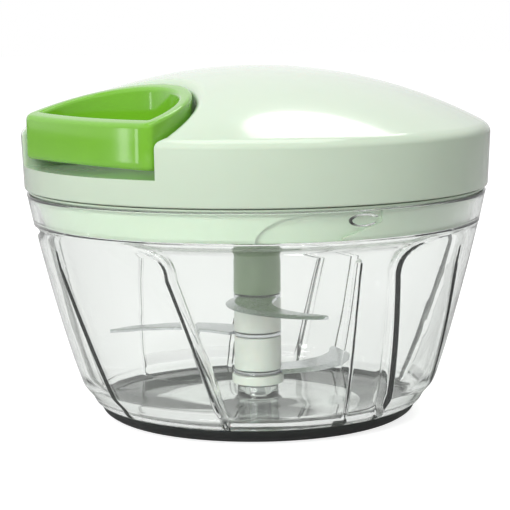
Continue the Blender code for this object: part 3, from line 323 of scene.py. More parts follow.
def filleted(corners, steps=5):
    # A profile of (radius, height, fillet) corners: each corner is a quadratic curve between the
    # points at fillet's distance before and after it
    corners = np.array(corners, float)
    points = []
    for k in range(len(corners)):
        here, size = corners[k, :2], corners[k, 2]
        if size <= 0 or k in (0, len(corners) - 1):
            points.append(here[None])
            continue
        before, after = corners[k - 1, :2] - here, corners[k + 1, :2] - here
        longBefore, longAfter = np.linalg.norm(before), np.linalg.norm(after)
        start = here + before / longBefore * min(size, longBefore * 0.48)
        end = here + after / longAfter * min(size, longAfter * 0.48)
        t = np.linspace(0, 1, steps)[:, None]
        points.append(start * (1 - t) ** 2 + 2 * here * t * (1 - t) + end * t ** 2)
    return np.vstack(points)


def turnedPiece(name, profile, steps, material=None, closed=False):
    # The profile (radius, height) carried round the axis
    turn = np.linspace(0, 2 * np.pi, steps, endpoint=False)[:, None]
    return gridPiece(name, polar(profile[:, 0], turn, profile[:, 1]), material, wrapColumns=closed)


def loftPiece(name, rings, material=None, closed=False, angle=32.0):
    # Rings (rows, points, 3) joined in order. Open ends are drawn to their middle, which closes them.
    if not closed:
        first, last = (np.broadcast_to(rings[k].mean(axis=0), rings[:1].shape) for k in (0, -1))
        rings = np.concatenate([first, rings, last])
    return gridPiece(name, rings, material, angle, wrapRows=closed, wrapColumns=True)


def tubePiece(name, path, radius, sides, material, closed=False):
    # A round section carried along a path; strands are mapped round it and along it in millimetres
    path = np.asarray(path, float)
    ahead = np.gradient(path, axis=0)
    if closed:
        ahead = np.roll(path, -1, axis=0) - np.roll(path, 1, axis=0)
    ahead /= np.linalg.norm(ahead, axis=1)[:, None]
    side = np.cross(ahead, [0.13, 0.09, 1.0])
    side /= np.linalg.norm(side, axis=1)[:, None]
    up = np.cross(side, ahead)
    turn = np.linspace(0, 2 * np.pi, sides, endpoint=False)
    rings = path[:, None] + radius * (np.cos(turn)[None, :, None] * side[:, None]
                                      + np.sin(turn)[None, :, None] * up[:, None])
    item = loftPiece(name, rings, material, closed, 60.0)
    braidMap(item, radius, path)
    return item


def braidMap(item, radius, path):
    # UV in millimetres: distance along the path's nearest point, and distance round the cord
    mesh = item.data
    co = np.empty(len(mesh.vertices) * 3, np.float32)
    mesh.vertices.foreach_get("co", co)
    co = co.reshape(-1, 3) / mm
    length = np.concatenate([[0], np.cumsum(np.linalg.norm(np.diff(path, axis=0), axis=1))])
    near = np.argmin(((co[:, None] - path[None]) ** 2).sum(axis=-1), axis=1)
    away = co - path[near]
    angle = np.arctan2(away[:, 2], away[:, :2].sum(axis=1))
    loops = np.empty(len(mesh.loops), np.int32)
    mesh.loops.foreach_get("vertex_index", loops)
    uv = np.stack([length[near], angle * radius], axis=-1)[loops]
    layer = mesh.uv_layers.new(name="braid")
    layer.data.foreach_set("uv", uv.astype(np.float32).ravel())


def solidMix(item, others, operation):
    # Cuts or adds other closed pieces, which are then removed. The piece keeps its own material.
    for other in others:
        change = item.modifiers.new("mix", "BOOLEAN")
        change.operation = operation
        change.solver = "MANIFOLD"
        change.object = other
    graph = bpy.context.evaluated_depsgraph_get()
    mesh = bpy.data.meshes.new_from_object(item.evaluated_get(graph), depsgraph=graph)
    item.modifiers.clear()
    mesh.polygons.foreach_set("material_index", np.zeros(len(mesh.polygons), np.int32))
    while len(mesh.materials) > 1:
        mesh.materials.pop()
    old = item.data
    item.data = mesh
    bpy.data.meshes.remove(old)
    for other in others:
        bpy.data.objects.remove(other, do_unlink=True)
    return item


def rodPiece(name, radius, start, end, sides=32):
    start, end = np.array(start, float), np.array(end, float)
    ahead = (end - start) / np.linalg.norm(end - start)
    side = np.cross(ahead, [0.0, 1.0, 0.0] if abs(ahead[2]) > 0.9 else [0.0, 0.0, 1.0])
    side /= np.linalg.norm(side)
    up = np.cross(side, ahead)
    turn = np.linspace(0, 2 * np.pi, sides, endpoint=False)[:, None]
    ring = radius * (np.cos(turn) * side + np.sin(turn) * up)
    return loftPiece(name, np.stack([start + ring, end + ring]))


def smoothCopy(node, name, material, width):
    # The CAD node's own shape, merged, with its edges broken by a small bevel where a width is given
    mesh = nodes[node].data.copy()
    mesh.materials.clear()
    item = finish(newObject(name, mesh, material), copied=True)
    if width:
        bevel = item.modifiers.new("edges", "BEVEL")
        bevel.width = width * mm
        bevel.segments = 2
        bevel.limit_method = "ANGLE"
        bevel.angle_limit = math.radians(40)
    return item


def settle(item, body, node):
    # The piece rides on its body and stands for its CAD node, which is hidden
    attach(item, body)
    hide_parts(node)
    return item


def smoothStep(value, low, high):
    # 0 up to low, 1 from high on, eased between them
    t = np.clip((value - low) / (high - low), 0, 1)
    return t * t * (3 - 2 * t)


def lidPoint(out, side, height):
    # A point by its distance out towards the handle, across it, and its height
    out, side, height = np.broadcast_arrays(out, side, height)
    return out[..., None] * outward + side[..., None] * across + height[..., None] * np.array([0, 0, 1.0])


# Bowl: a turned wall whose radius also changes round it, with panels, grooves, lip and lugs

bowl = {
    "underside": 2.2, "seat": 4.2, "footRadius": 43.2, "insideRing": 41.0, "wall": 1.9, "corner": 4.0,
    "panelTop": 53.0, "wallTopRadius": 57.7, "flare": 0.78, "bandStep": 2.1, "cove": 2.5,
    "bandRadius": 59.8, "rimRadius": 61.5, "rim": 61.3, "rimRound": 0.5, "rimInside": 0.4,
    # the three panels: place, size, and how far they stand out below and above the bulge
    "middle": 217.45, "half": 29.85, "archBase": 44.0, "archHeight": 9.0, "archPower": 3.2,
    "edge": 0.50, "innerEdge": 0.65, "proud": 2.0, "proudBelow": 0.5, "bulge": (6.0, 10.5),
    # how many degrees each feature leans, by its azimuth after a panel's middle
    "leanAt": (0.0, 29.85, 78.7, 90.15, 111.4, 115.5, 120.0),
    "lean": (11.5, 11.7, 0.2, 8.1, 12.8, 10.5, 11.5),
    "lip": 0.55, "lipTop": (5.9, 6.9),
    "creaseAt": 1.15, "creaseHalf": 1.0, "creaseDepth": 1.0, "creaseTop": (44.5, 50.5), "creaseFade": 0.8,
    "grooves": (208.9, 332.9, 88.9), "grooveDepth": 0.8, "grooveHalf": (0.35, 1.0),
    "groovePoint": (40.0, 48.3), "grooveEnd": 48.4,
    "fieldGroove": 296.2, "fieldDepth": 0.75, "fieldHalf": (1.05, 1.5), "fieldEnd": 47.2,
    "lineAt": 53.7, "lineDepth": 0.4, "lineHalf": 0.36,
    "lugAzimuth": 296.0, "lugHeight": 58.8, "lugSize": (4.4, 1.65), "lugDepth": 1.1,
    "bossRadius": 5.5, "bossTop": 8.0, "bore": 2.3, "boreBottom": 4.7, "columns": 206}


def around(azimuth, middle, fold=3):
    # Signed degrees to the nearest of the copies that repeat round the bowl
    pitch = 360 / fold
    return (azimuth - middle + pitch / 2) % pitch - pitch / 2


def leanOffset(azimuth, height):
    # Features lean round the bowl towards the base, each by its own angle
    after = (azimuth - bowl["middle"]) % 120
    share = np.interp(after, bowl["leanAt"], bowl["lean"])
    return share * np.clip((bowl["archBase"] - height) / (bowl["archBase"] - bowl["seat"]), 0, 1)


def coveStep(height):
    # How far the cove has stepped out towards the band
    return bowl["bandStep"] * smoothStep(height, bowl["panelTop"] - bowl["cove"], bowl["panelTop"])


def plainRadius(height):
    # A power curve from the foot to below the band, a cove out to the band, then the band's cone
    c = bowl
    t = np.clip((height - c["seat"]) / (c["panelTop"] - c["seat"]), 0, 1)
    wall = c["footRadius"] + (c["wallTopRadius"] - c["footRadius"]) * t ** c["flare"]
    wall = wall + coveStep(height)
    s = np.clip((height - c["panelTop"]) / (c["rim"] - c["panelTop"]), 0, 1)
    band = c["bandRadius"] + (c["rimRadius"] - c["bandRadius"]) * s
    return np.where(height > c["panelTop"], band, wall)


def reliefOf(azimuth, height, edge, grooves):
    # Panel inside a superellipse arch, measured by its distance in millimetres, and the base's lip.
    # The outer face has the crease and the grooves too.
    c = bowl
    perDegree = np.radians(1) * plainRadius(height)
    x = np.abs(around(azimuth, c["middle"])) * perDegree
    a = c["half"] * perDegree
    z = np.maximum(height - c["archBase"], 0)
    b, n = c["archHeight"], c["archPower"]
    s = np.maximum((x / a) ** n + (z / b) ** n, 1e-9) ** (1 / n)
    steep = np.hypot((x / a) ** (n - 1) / a, (z / b) ** (n - 1) / b) * s ** (1 - n)
    away = (s - 1) / np.maximum(steep, 1e-4)
    inside = 1 - smoothStep(away, -edge, edge)
    proud = c["proudBelow"] + (c["proud"] - c["proudBelow"]) * smoothStep(height, *c["bulge"])
    out = np.maximum(proud - coveStep(height), 0) * inside
    out = out + c["lip"] * (1 - inside) * (1 - smoothStep(height, *c["lipTop"]))
    if grooves:
        # The crease runs along the panel's foot, and fades where the panel's top is level with the band
        crease = 1 - smoothStep(np.abs(away - c["creaseAt"]), 0.12, c["creaseHalf"])
        fade = 1 - c["creaseFade"] * smoothStep(height, *c["creaseTop"])
        out = out - c["creaseDepth"] * crease * fade
        # Grooves on the panels run to a point, and those between the panels end round
        low, high = c["grooveHalf"]
        wide = low + (high - low) * (1 - smoothStep(height, *c["groovePoint"]))
        for middle in c["grooves"]:
            away = np.abs(around(azimuth, middle, 1)) * perDegree
            cut = c["grooveDepth"] * (1 - smoothStep(away, wide * 0.55, wide * 1.15))
            out = out - cut * (height < c["grooveEnd"])
        low, high = c["fieldHalf"]
        wide = low + (high - low) * (1 - smoothStep(height, 6, 48))
        away = np.abs(around(azimuth, c["fieldGroove"])) * perDegree
        away = np.hypot(away, np.maximum(height - c["fieldEnd"], 0))
        out = out - c["fieldDepth"] * (1 - smoothStep(away, wide - 0.3, wide + 0.15))
    fades = smoothStep(height, c["seat"], c["seat"] + 0.8) * (height < c["panelTop"] + 0.001)
    return out * fades


def lugRelief(azimuth, height):
    # An oval lug stands inwards from the band
    x = around(azimuth, bowl["lugAzimuth"]) * np.radians(1) * plainRadius(height) / bowl["lugSize"][0]
    z = (height - bowl["lugHeight"]) / bowl["lugSize"][1]
    return bowl["lugDepth"] * (1 - smoothStep(np.hypot(x, z), 0.72, 1.04))


def columnAngles():
    # Close together where edges, grooves and lugs run, further apart between them
    dense = [(bowl["middle"] + k * (bowl["half"] + 0.4), 2.0, 4.0) for k in (-1, 1)]
    dense += [(bowl["middle"] + k * (bowl["half"] - 5.5), 5.5, 1.2) for k in (-1, 1)]
    dense += [(bowl["fieldGroove"], 2.3, 4.0), (bowl["lugAzimuth"], 5.0, 1.3)]
    dense += [(groove, 1.5, 4.0) for groove in bowl["grooves"][:2]]
    probe = np.linspace(0, 120, 9601)
    density = np.full_like(probe, 0.5)
    for middle, reach, extra in dense:
        density += extra * (1 - smoothStep(np.abs(around(probe, middle)), reach * 0.85, reach * 1.3))
    total = np.cumsum(density)
    total = (total - total[0]) / (total[-1] - total[0])
    third = np.interp(np.linspace(0, 1, bowl["columns"], endpoint=False), total, probe)
    return np.concatenate([third, third + 120, third + 240])


def rowHeights(*spans):
    # Heights from spans of (start, end, count), as one row
    return np.concatenate([np.linspace(*span) for span in spans])[None]


def makeBowl():
    c, seat, rim = bowl, bowl["seat"], bowl["rim"]
    outerZ = rowHeights((seat, 12, 15), (13.3, 43.0, 20), (43.7, 53.2, 31), (53.35, 54.05, 5),
                        (54.6, rim - 0.55, 5))
    innerZ = rowHeights((rim - 0.5, 56.6, 20), (55.9, 44, 16), (42, seat + c["corner"], 12))
    u = columnAngles()[:, None]
    outerR = plainRadius(outerZ) + reliefOf(u, outerZ, c["edge"], True)
    line = 1 - smoothStep(np.abs(outerZ - c["lineAt"]), 0.05, c["lineHalf"])
    outerR = outerR - c["lineDepth"] * line
    innerR = plainRadius(innerZ) - c["wall"] + reliefOf(u, innerZ, c["innerEdge"], False)
    innerR = innerR - lugRelief(u, innerZ)

    # The rim's two roundings, the corner to the floor, the pin's boss, and the underside
    size, lip = c["rimRound"], np.radians([15, 40, 65, 90])
    lipR, lipZ = c["rimRadius"] - size + size * np.cos(lip), rim - size + size * np.sin(lip)
    size, back = c["rimInside"], np.radians([90, 120, 150])
    backR = c["rimRadius"] - c["wall"] + size + size * np.cos(back)
    backZ = rim - size + size * np.sin(back)
    bend = np.radians(np.linspace(8, 90, 9))
    bendR = innerR[:, -1:] - c["corner"] + c["corner"] * np.cos(bend)
    bendZ = seat + c["corner"] * (1 - np.sin(bend))
    boss = filleted([
        (20, seat, 0), (c["bossRadius"] + 0.2, seat, 0.9), (c["bossRadius"], c["bossTop"], 0.5),
        (c["bore"], c["bossTop"], 0.3), (c["bore"], c["boreBottom"], 0), (0, c["boreBottom"], 0)])
    floor, inside = c["underside"], c["insideRing"]
    under = np.array([(0, floor), (20, floor), (inside - 0.3, floor), (inside, floor + 0.3),
                      (inside, seat - 0.02)])
    parts = (under.T, (outerR, outerZ), (lipR, lipZ), (backR, backZ), (innerR, innerZ),
             (bendR, bendZ), boss.T)
    radius, height = (np.concatenate([part[k] + 0 * u for part in parts], axis=1) for k in (0, 1))
    turn = np.radians(u + leanOffset(u, height))
    item = gridPiece("bowl_clear", polar(radius, turn, height), sanClear, 80)
    return settle(item, "bowl", "bowl")


print("bowl:", len(makeBowl().data.polygons), "faces")


# Base ring: soft rubber ring round the foot, with shallow grip grooves in its underside

baseRing = {"radius": 42.8, "height": 3.9, "flange": 1.9, "lip": 1.5, "opening": 27.82,
            "contact": (37.2, 32.4), "relief": 0.7, "groove": 0.35, "groovePitch": 1.4}


def makeBaseRing():
    r, h, (outer, inner) = baseRing["radius"], baseRing["height"], baseRing["contact"]
    opening, flange, relief = baseRing["opening"], baseRing["flange"], baseRing["relief"]
    deep, pitch = baseRing["groove"], baseRing["groovePitch"]
    grip = [(outer - away - pitch * k, depth, 0.08) for k in range(3)
            for away, depth in ((0.9, 0.0), (1.1, deep), (1.5, deep), (1.7, 0.0))]
    corners = [(r - 0.5, h, 0), (r, h, 0.35), (r - 0.6, h * 0.54, 1.0), (r - 2.85, h * 0.16, 1.0),
               (outer, 0.0, 0.6), *grip, (inner, 0.0, 0.3), (inner - 0.7, relief, 0.3),
               (opening, relief, 0.3), (opening, flange, 0.3), (r - baseRing["lip"], flange, 0.2),
               (r - baseRing["lip"], h, 0.2), (r - 0.5, h, 0)]
    item = turnedPiece("base_ring_rubber", filleted(corners), 256, rubberDark)
    return settle(item, "bowl", "base_ring")


makeBaseRing()
print("base ring")


# Top cover: dome, side and underside turned, the handle's pocket cut with a rounded-out edge

cover = {"bottomRadius": 62.0, "bottom": 62.4, "shoulderRadius": 62.6, "shoulder": 76.4, "apex": 94.2,
         "domeRadius": 130.0, "reach": 1.8, "drop": 1.2, "wall": 2.1, "seatRadius": 59.8, "seatTop": 64.5,
         "postCircle": 46.0, "postRadius": 3.6, "postBottom": 58.9, "postAngles": (60, 180, -60),
         "screwBore": 1.8, "screwDepth": 10.0, "ring": (15.0, 16.8), "ringBottom": 81.3,
         "bossRadius": 3.9, "bossBottom": 87.4, "spindleBore": (1.8, 85.3, 90.95),
         "guideBore": (3.2, 24.2, 28.7)}
pocket = {"half": 28.0, "centre": 54.5, "depth": 26.3, "floor": 69.0, "wall": 2.0, "cornerRound": 1.7,
          "open": 82.0,
          # the edge's rounding into the dome: depths below it, and how much wider it is there
          "below": (2.6, 2.2, 1.8, 1.4, 1.0, 0.6, 0.3, 0.1, 0.0, -0.1, -0.4, -0.9, -20.0),
          "wider": (0.0, 0.04, 0.14, 0.32, 0.58, 0.95, 1.35, 1.8, 2.2, 2.7, 4.0, 6.0, 6.4)}


def domeHeight(radius):
    # A sphere's cap, carried on flat past the shoulder
    radius = np.minimum(radius, cover["shoulderRadius"] - cover["reach"])
    return cover["apex"] - cover["domeRadius"] + np.sqrt(cover["domeRadius"] ** 2 - radius ** 2)


def coverProfile(inset, rows):
    # Dome from the middle to the shoulder, then a rounded corner to the side
    c = cover
    start = c["shoulderRadius"] - c["reach"] - inset * 0.4
    r = start * np.sin(np.linspace(0, np.pi / 2, rows))
    z = c["apex"] - c["domeRadius"] + np.sqrt((c["domeRadius"] - inset) ** 2 - r ** 2)
    first = np.array([r[-1], z[-1]])
    corner = np.array([c["shoulderRadius"] - inset, z[-1] - c["drop"]])
    end = np.array([c["shoulderRadius"] - inset, c["shoulder"] - inset * 0.5])
    t = np.linspace(0, 1, 12)[1:, None]
    bend = first * (1 - t) ** 2 + 2 * corner * t * (1 - t) + end * t ** 2
    return np.vstack([np.stack([r, z], axis=-1), bend])


def pocketSolid(name, grow):
    # The handle's outline with clearance, straight up from the floor, then rounded out into the dome
    p = pocket
    turn, bend = np.radians(np.linspace(-90, 90, 97)), np.radians(np.linspace(12, 90, 8))
    beyond = p["centre"] + p["cornerRound"] * np.sin(bend)
    ends = [p["open"]]
    rings = []
    for below, wide in ((None, 0.0), *zip(p["below"], p["wider"])):
        half, depth = p["half"] + grow + wide, p["depth"] + grow + wide
        flank = half + p["cornerRound"] * (1 - np.cos(bend))
        out = np.concatenate([ends, beyond[::-1], p["centre"] - depth * np.cos(turn), beyond, ends])
        side = np.concatenate([[-flank[-1]], -flank[::-1], half * np.sin(turn), flank, [flank[-1]]])
        if below is None:
            height = np.full_like(out, p["floor"] - grow)
        else:
            height = domeHeight(np.hypot(out, side)) - grow - below
        rings.append(lidPoint(out, side, height))
    return loftPiece(name, np.array(rings))


def postRods(name, radius, low, high, sides=32):
    # An upright rod on the axis of each screw post
    turns = [math.radians(pullAzimuth + azimuth) for azimuth in cover["postAngles"]]
    return [rodPiece(name, radius, polar(cover["postCircle"], turn, low),
                     polar(cover["postCircle"], turn, high), sides) for turn in turns]


def makeTopCover():
    c = cover
    edge = filleted([(c["shoulderRadius"], c["shoulder"] - 1, 0), (c["bottomRadius"], c["bottom"], 0.6),
                     (c["bottomRadius"] - 1.5, c["bottom"], 0), (0, c["bottom"], 0)])
    outer = np.vstack([coverProfile(0.0, 48), edge[1:]])
    item = turnedPiece("top_cover_mint", outer, 240, absMint)
    below = np.array([[c["seatRadius"] - 0.5, c["seatTop"]], [c["seatRadius"], c["seatTop"]],
                      [c["seatRadius"], c["bottom"] - 2.1], [0.0, c["bottom"] - 2.1]])
    inner = np.vstack([coverProfile(c["wall"], 20), below])
    hollow = turnedPiece("hollow", inner, 160)
    keep = [pocketSolid("casing", pocket["wall"])]
    keep += postRods("post", c["postRadius"], c["bottom"], c["apex"])
    (ringIn, ringOut), low, high = c["ring"], c["ringBottom"], c["apex"] - 0.5
    keep.append(turnedPiece("spring_ring", np.array([
        (ringOut, high), (ringOut, low), (ringIn, low), (ringIn, high), (ringOut, high)]), 96))
    keep.append(rodPiece("boss", c["bossRadius"], (0, 0, c["bossBottom"]), (0, 0, high)))
    solidMix(hollow, keep, "DIFFERENCE")
    solidMix(item, [pocketSolid("pocket", 0.0), hollow], "DIFFERENCE")
    solidMix(item, postRods("foot", c["postRadius"] - 0.05, c["postBottom"], c["bottom"] + 4), "UNION")
    holes = postRods("bore", c["screwBore"], c["postBottom"] - 1.2, c["postBottom"] + c["screwDepth"])
    radius, low, high = c["spindleBore"]
    holes.append(rodPiece("spindle_bore", radius, (0, 0, low), (0, 0, high)))
    radius, near, far = c["guideBore"]
    holes.append(rodPiece("guide_hole", radius, lidPoint(near, 0.0, cordHeight),
                          lidPoint(far, 0.0, cordHeight)))
    solidMix(item, holes, "DIFFERENCE")
    finish(item, 30)
    return settle(item, "lid", "top_cover")


print("top cover:", len(makeTopCover().data.polygons), "faces")


# Lower cover: skirt inside the bowl's band, plate, tower for the hub, screw pads and bayonet ramps

lower = {"lip": 61.1, "flange": 59.5, "flangeBottom": 61.6, "flangeTop": 64.2, "seam": 60.29,
         "skirtBottom": 54.2, "skirtWall": 2.2, "play": 0.4, "plate": (54.6, 56.6), "plateInset": 2.64,
         "towerBore": 7.05, "tower": 9.45, "towerTop": 67.6, "padRadius": 5.0, "pad": (55.1, 58.6),
         "holes": ((1.8, 53.5, 59.6), (3.1, 53.7, 56.5)),
         "rampRadius": 59.39, "rampOut": 62.5, "rampDepth": 1.0, "rampPlay": 0.35, "rampLeft": 26.7,
         "rampRound": 13.7, "rise": 20.0}


def skirtRadius(height):
    return plainRadius(np.asarray(height, float)) - bowl["wall"] - lower["play"]


def rampSolid(name, azimuth):
    # The way of a lug as the lid turns and rises: its lower edge falls steadily to the left,
    # its upper edge rounds down to meet it
    c = lower
    (length, width), left, fall = bowl["lugSize"], c["rampLeft"], c["rampRound"]
    below = math.hypot(length * c["rise"] / c["rampRadius"], width) + c["rampPlay"]
    right = math.degrees((length + 0.3) / c["rampRadius"]) + 0.4
    bottom, top = c["skirtBottom"] - 1.1, bowl["lugHeight"] + width + 0.3
    turn = np.linspace(-right, left, 60)
    late = np.maximum(turn - (left - fall), 0) / fall
    high = bottom + (top - bottom) * np.sqrt(np.maximum(1 - late * late, 0.004))
    low = np.maximum(bowl["lugHeight"] - below - c["rise"] * np.radians(turn), bottom)
    low = np.minimum(low, high - 0.2)
    angle = np.radians(azimuth - turn)
    rings = [polar(r, angle, z) for r, z in (
        (skirtRadius(low) - c["rampDepth"], low), (c["rampOut"], low),
        (c["rampOut"], high), (skirtRadius(high) - c["rampDepth"], high))]
    return loftPiece(name, np.stack(rings, axis=1))


def makeLowerCover():
    c, wall = lower, lower["skirtWall"]
    low, seam = float(skirtRadius(c["skirtBottom"])), float(skirtRadius(c["seam"]))
    corners = [(c["flange"] - 1, c["flangeTop"], 0), (c["flange"], c["flangeTop"], 0.3),
               (c["flange"], c["flangeBottom"] + 0.5, 0.1),
               (c["lip"], c["flangeBottom"] + 0.5, 0.2), (c["lip"], c["flangeBottom"], 0.2),
               (seam, c["flangeBottom"], 0.2), (seam, c["seam"], 0.5), (low, c["skirtBottom"], 0.5),
               (low - wall, c["skirtBottom"], 0.4), (low - c["plateInset"], c["plate"][0], 0.3),
               (c["towerBore"], c["plate"][0], 0.4), (c["towerBore"], c["towerTop"], 0.3),
               (c["tower"], c["towerTop"], 0.3), (c["tower"], c["plate"][1], 0.8),
               (low - wall, c["plate"][1], 0.6), (seam - wall, c["seam"], 0.5),
               (seam - wall, c["flangeTop"], 0.3), (c["flange"] - 1, c["flangeTop"], 0)]
    item = turnedPiece("lower_cover_mint", filleted(corners), 240, absMint)
    solidMix(item, [rampSolid("ramp", bowl["lugAzimuth"] + 120 * k) for k in range(3)], "DIFFERENCE")
    solidMix(item, postRods("pad", c["padRadius"], *c["pad"], 48), "UNION")
    pairs = zip(*(postRods("hole", *hole) for hole in c["holes"]))
    solidMix(item, [rod for pair in pairs for rod in pair], "DIFFERENCE")
    finish(item, 30)
    return settle(item, "lid", "lower_cover")


print("lower cover:", len(makeLowerCover().data.polygons), "faces")


# Pull handle: a rounded band carried round a D, its top sloping up with the dome

handle = {"reach": 56.7, "depth": 27.5, "half": 27.0, "wall": 3.8, "corner": 4.0, "shape": 0.55,
          "bulge": 1.0, "bottom": 71.1, "frontTop": 82.3, "slope": 16.7, "round": 1.1, "cordBore": 1.2}


def dOutline(inset, count=120):
    # A half ellipse towards the lid's middle, and a bulged front with rounded corners
    h = handle
    corner = max(h["corner"] - inset, 0.8)
    cornerDepth = corner * h["shape"]
    reach, half = h["reach"] - inset, h["half"] - inset
    centre = reach - cornerDepth
    depth = centre - (h["reach"] - h["depth"] + inset)
    flat = half - corner
    arc = np.radians(np.linspace(-90, 90, count))
    bend = np.radians(np.linspace(84, 0, 15))
    front = np.linspace(flat, -flat, 50)[1:-1]
    out = np.concatenate([centre - depth * np.cos(arc), centre + cornerDepth * np.cos(bend),
                          reach + h["bulge"] * (1 - (front / flat) ** 2),
                          (centre + cornerDepth * np.cos(bend))[::-1]])
    side = np.concatenate([half * np.sin(arc), flat + corner * np.sin(bend), front,
                           -(flat + corner * np.sin(bend))[::-1]])
    return out, side


def makeHandle():
    h = handle
    soft, wall = h["round"], h["wall"]
    quarter = np.radians(np.linspace(0, 90, 7))
    s, c = np.sin(quarter), np.cos(quarter)
    # (inset, rise, from the top) round the section, starting at the outer face's lower corner
    section = [(soft * (1 - x), soft * (1 - y), 0) for x, y in zip(s, c)]
    section.append((0, 2.5, 0))
    section += [(soft * (1 - x), -soft * (1 - y), 1) for x, y in zip(c, s)]
    section += [(wall - soft * (1 - x), -soft * (1 - y), 1) for x, y in zip(s, c)]
    section += [(wall - soft * (1 - x), soft * (1 - y), 0) for x, y in zip(c, s)]
    slope = math.tan(math.radians(h["slope"]))
    rings = []
    for inset, rise, top in section:
        out, side = dOutline(inset)
        base = h["frontTop"] + slope * (h["reach"] - out) if top else np.full_like(out, h["bottom"])
        rings.append(lidPoint(out, side, base + rise))
    item = loftPiece("pull_handle_green", np.array(rings), absGreen, closed=True, angle=40)
    end = h["reach"] - h["depth"]
    solidMix(item, [rodPiece("cord_hole", h["cordBore"], lidPoint(end - 2, 0.0, cordHeight),
                             lidPoint(end + wall + 2, 0.0, cordHeight), 24)], "DIFFERENCE")
    finish(item, 40)
    return settle(item, "handle", "pull_handle")


print("pull handle:", len(makeHandle().data.polygons), "faces")


# Cord: from the winding through the guide and the handle's wall, ending in a knot

cord = {"radius": 0.8, "touch": 18.9, "guideIn": 24.2, "bend": 2.2, "end": 33.0,
        "knot": 34.82, "knotSize": 0.42, "knotDepth": 0.7, "knotRadius": 0.66,
        "windingHalf": 1.4, "windingRadius": 17.2, "windingBulge": 0.6, "windingInside": 15.3,
        "mapRadius": 17.0}


def makeCord():
    c = cord
    tangent = math.acos(c["touch"] / c["guideIn"])
    touch = np.array([c["touch"] * math.cos(tangent), c["touch"] * math.sin(tangent)])
    bend, after = np.array([c["guideIn"], 0.0]), np.array([c["guideIn"] + c["bend"], 0.0])
    near = bend + (touch - bend) / np.linalg.norm(touch - bend) * c["bend"]
    t = np.linspace(0, 1, 14)[:, None]
    curve = near * (1 - t) ** 2 + 2 * bend * t * (1 - t) + after * t ** 2
    straight = np.linspace(after, [c["end"], 0.0], 40)[1:]
    flat = np.vstack([np.linspace(touch, near, 5)[:-1], curve, straight])
    path = lidPoint(flat[:, 0], flat[:, 1], cordHeight)
    item = tubePiece("cord_run_braided", path, c["radius"], 20, nylonCord)
    tuple(lidPoint(28.6, 0.0, 77.9) * mm)
    tuple(lidPoint(31.5, 0.0, 77.9) * mm)
    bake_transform(item)
    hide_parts("cord_run")

    # The knot: a trefoil curve squeezed against the wall
    t = np.linspace(0, 2 * np.pi, 120, endpoint=False)
    x, y, z = np.sin(t) + 2 * np.sin(2 * t), np.cos(t) - 2 * np.cos(2 * t), -np.sin(3 * t)
    path = lidPoint(c["knot"] + c["knotDepth"] * z, x * c["knotSize"], cordHeight + y * c["knotSize"])
    knot = tubePiece("cord_knot_tied", path, c["knotRadius"], 14, nylonCord, closed=True)
    settle(knot, "handle", "cord_knot")

    # The wound turns: cord after cord in the groove
    half, inside = c["windingHalf"], c["windingInside"]
    z = np.linspace(-half, half, 29)
    bumps = c["windingRadius"] + c["windingBulge"] * np.abs(np.cos(np.pi * z / half))
    profile = np.vstack([np.stack([bumps, cordHeight - z], axis=-1),
                         [[inside, cordHeight - half], [inside, cordHeight + half]]])
    winding = turnedPiece("cord_winding_turns", profile, 128, nylonCord, True)
    turn = np.linspace(0, 2 * np.pi, 60, endpoint=False)
    braidMap(winding, 1.0, polar(c["mapRadius"], turn, cordHeight))
    settle(winding, "pulley", "cord_winding")


makeCord()
print("cord, knot and winding")


# Blade unit: three swept blades on a tube with sleeves between them

blades = {"reach": (38.88, 40.82, 41.90), "azimuth": (20.0, 140.0, 260.0), "low": (11.1, 21.5, 31.9),
          "thick": 0.8, "sweep": 34.0, "sweepPower": 1.6, "root": 12.5, "tip": 6.2,
          "tipRound": (0.86, 0.142), "belly": 0.18, "bevel": 2.4, "start": 5.0, "ring": (3.9, 6.4)}
core = {"spacers": (("spacer_lower", 12.2, 21.2), ("spacer_upper", 22.6, 31.6)), "tube": 3.6, "top": 44.6,
        "flange": (7.0, 8.3, 10.8), "pinBore": 2.3, "pinBoreTop": 23.1,
        "pin": 2.0, "pinPoint": 1.3, "pinSpan": (5.0, 21.7, 22.5)}


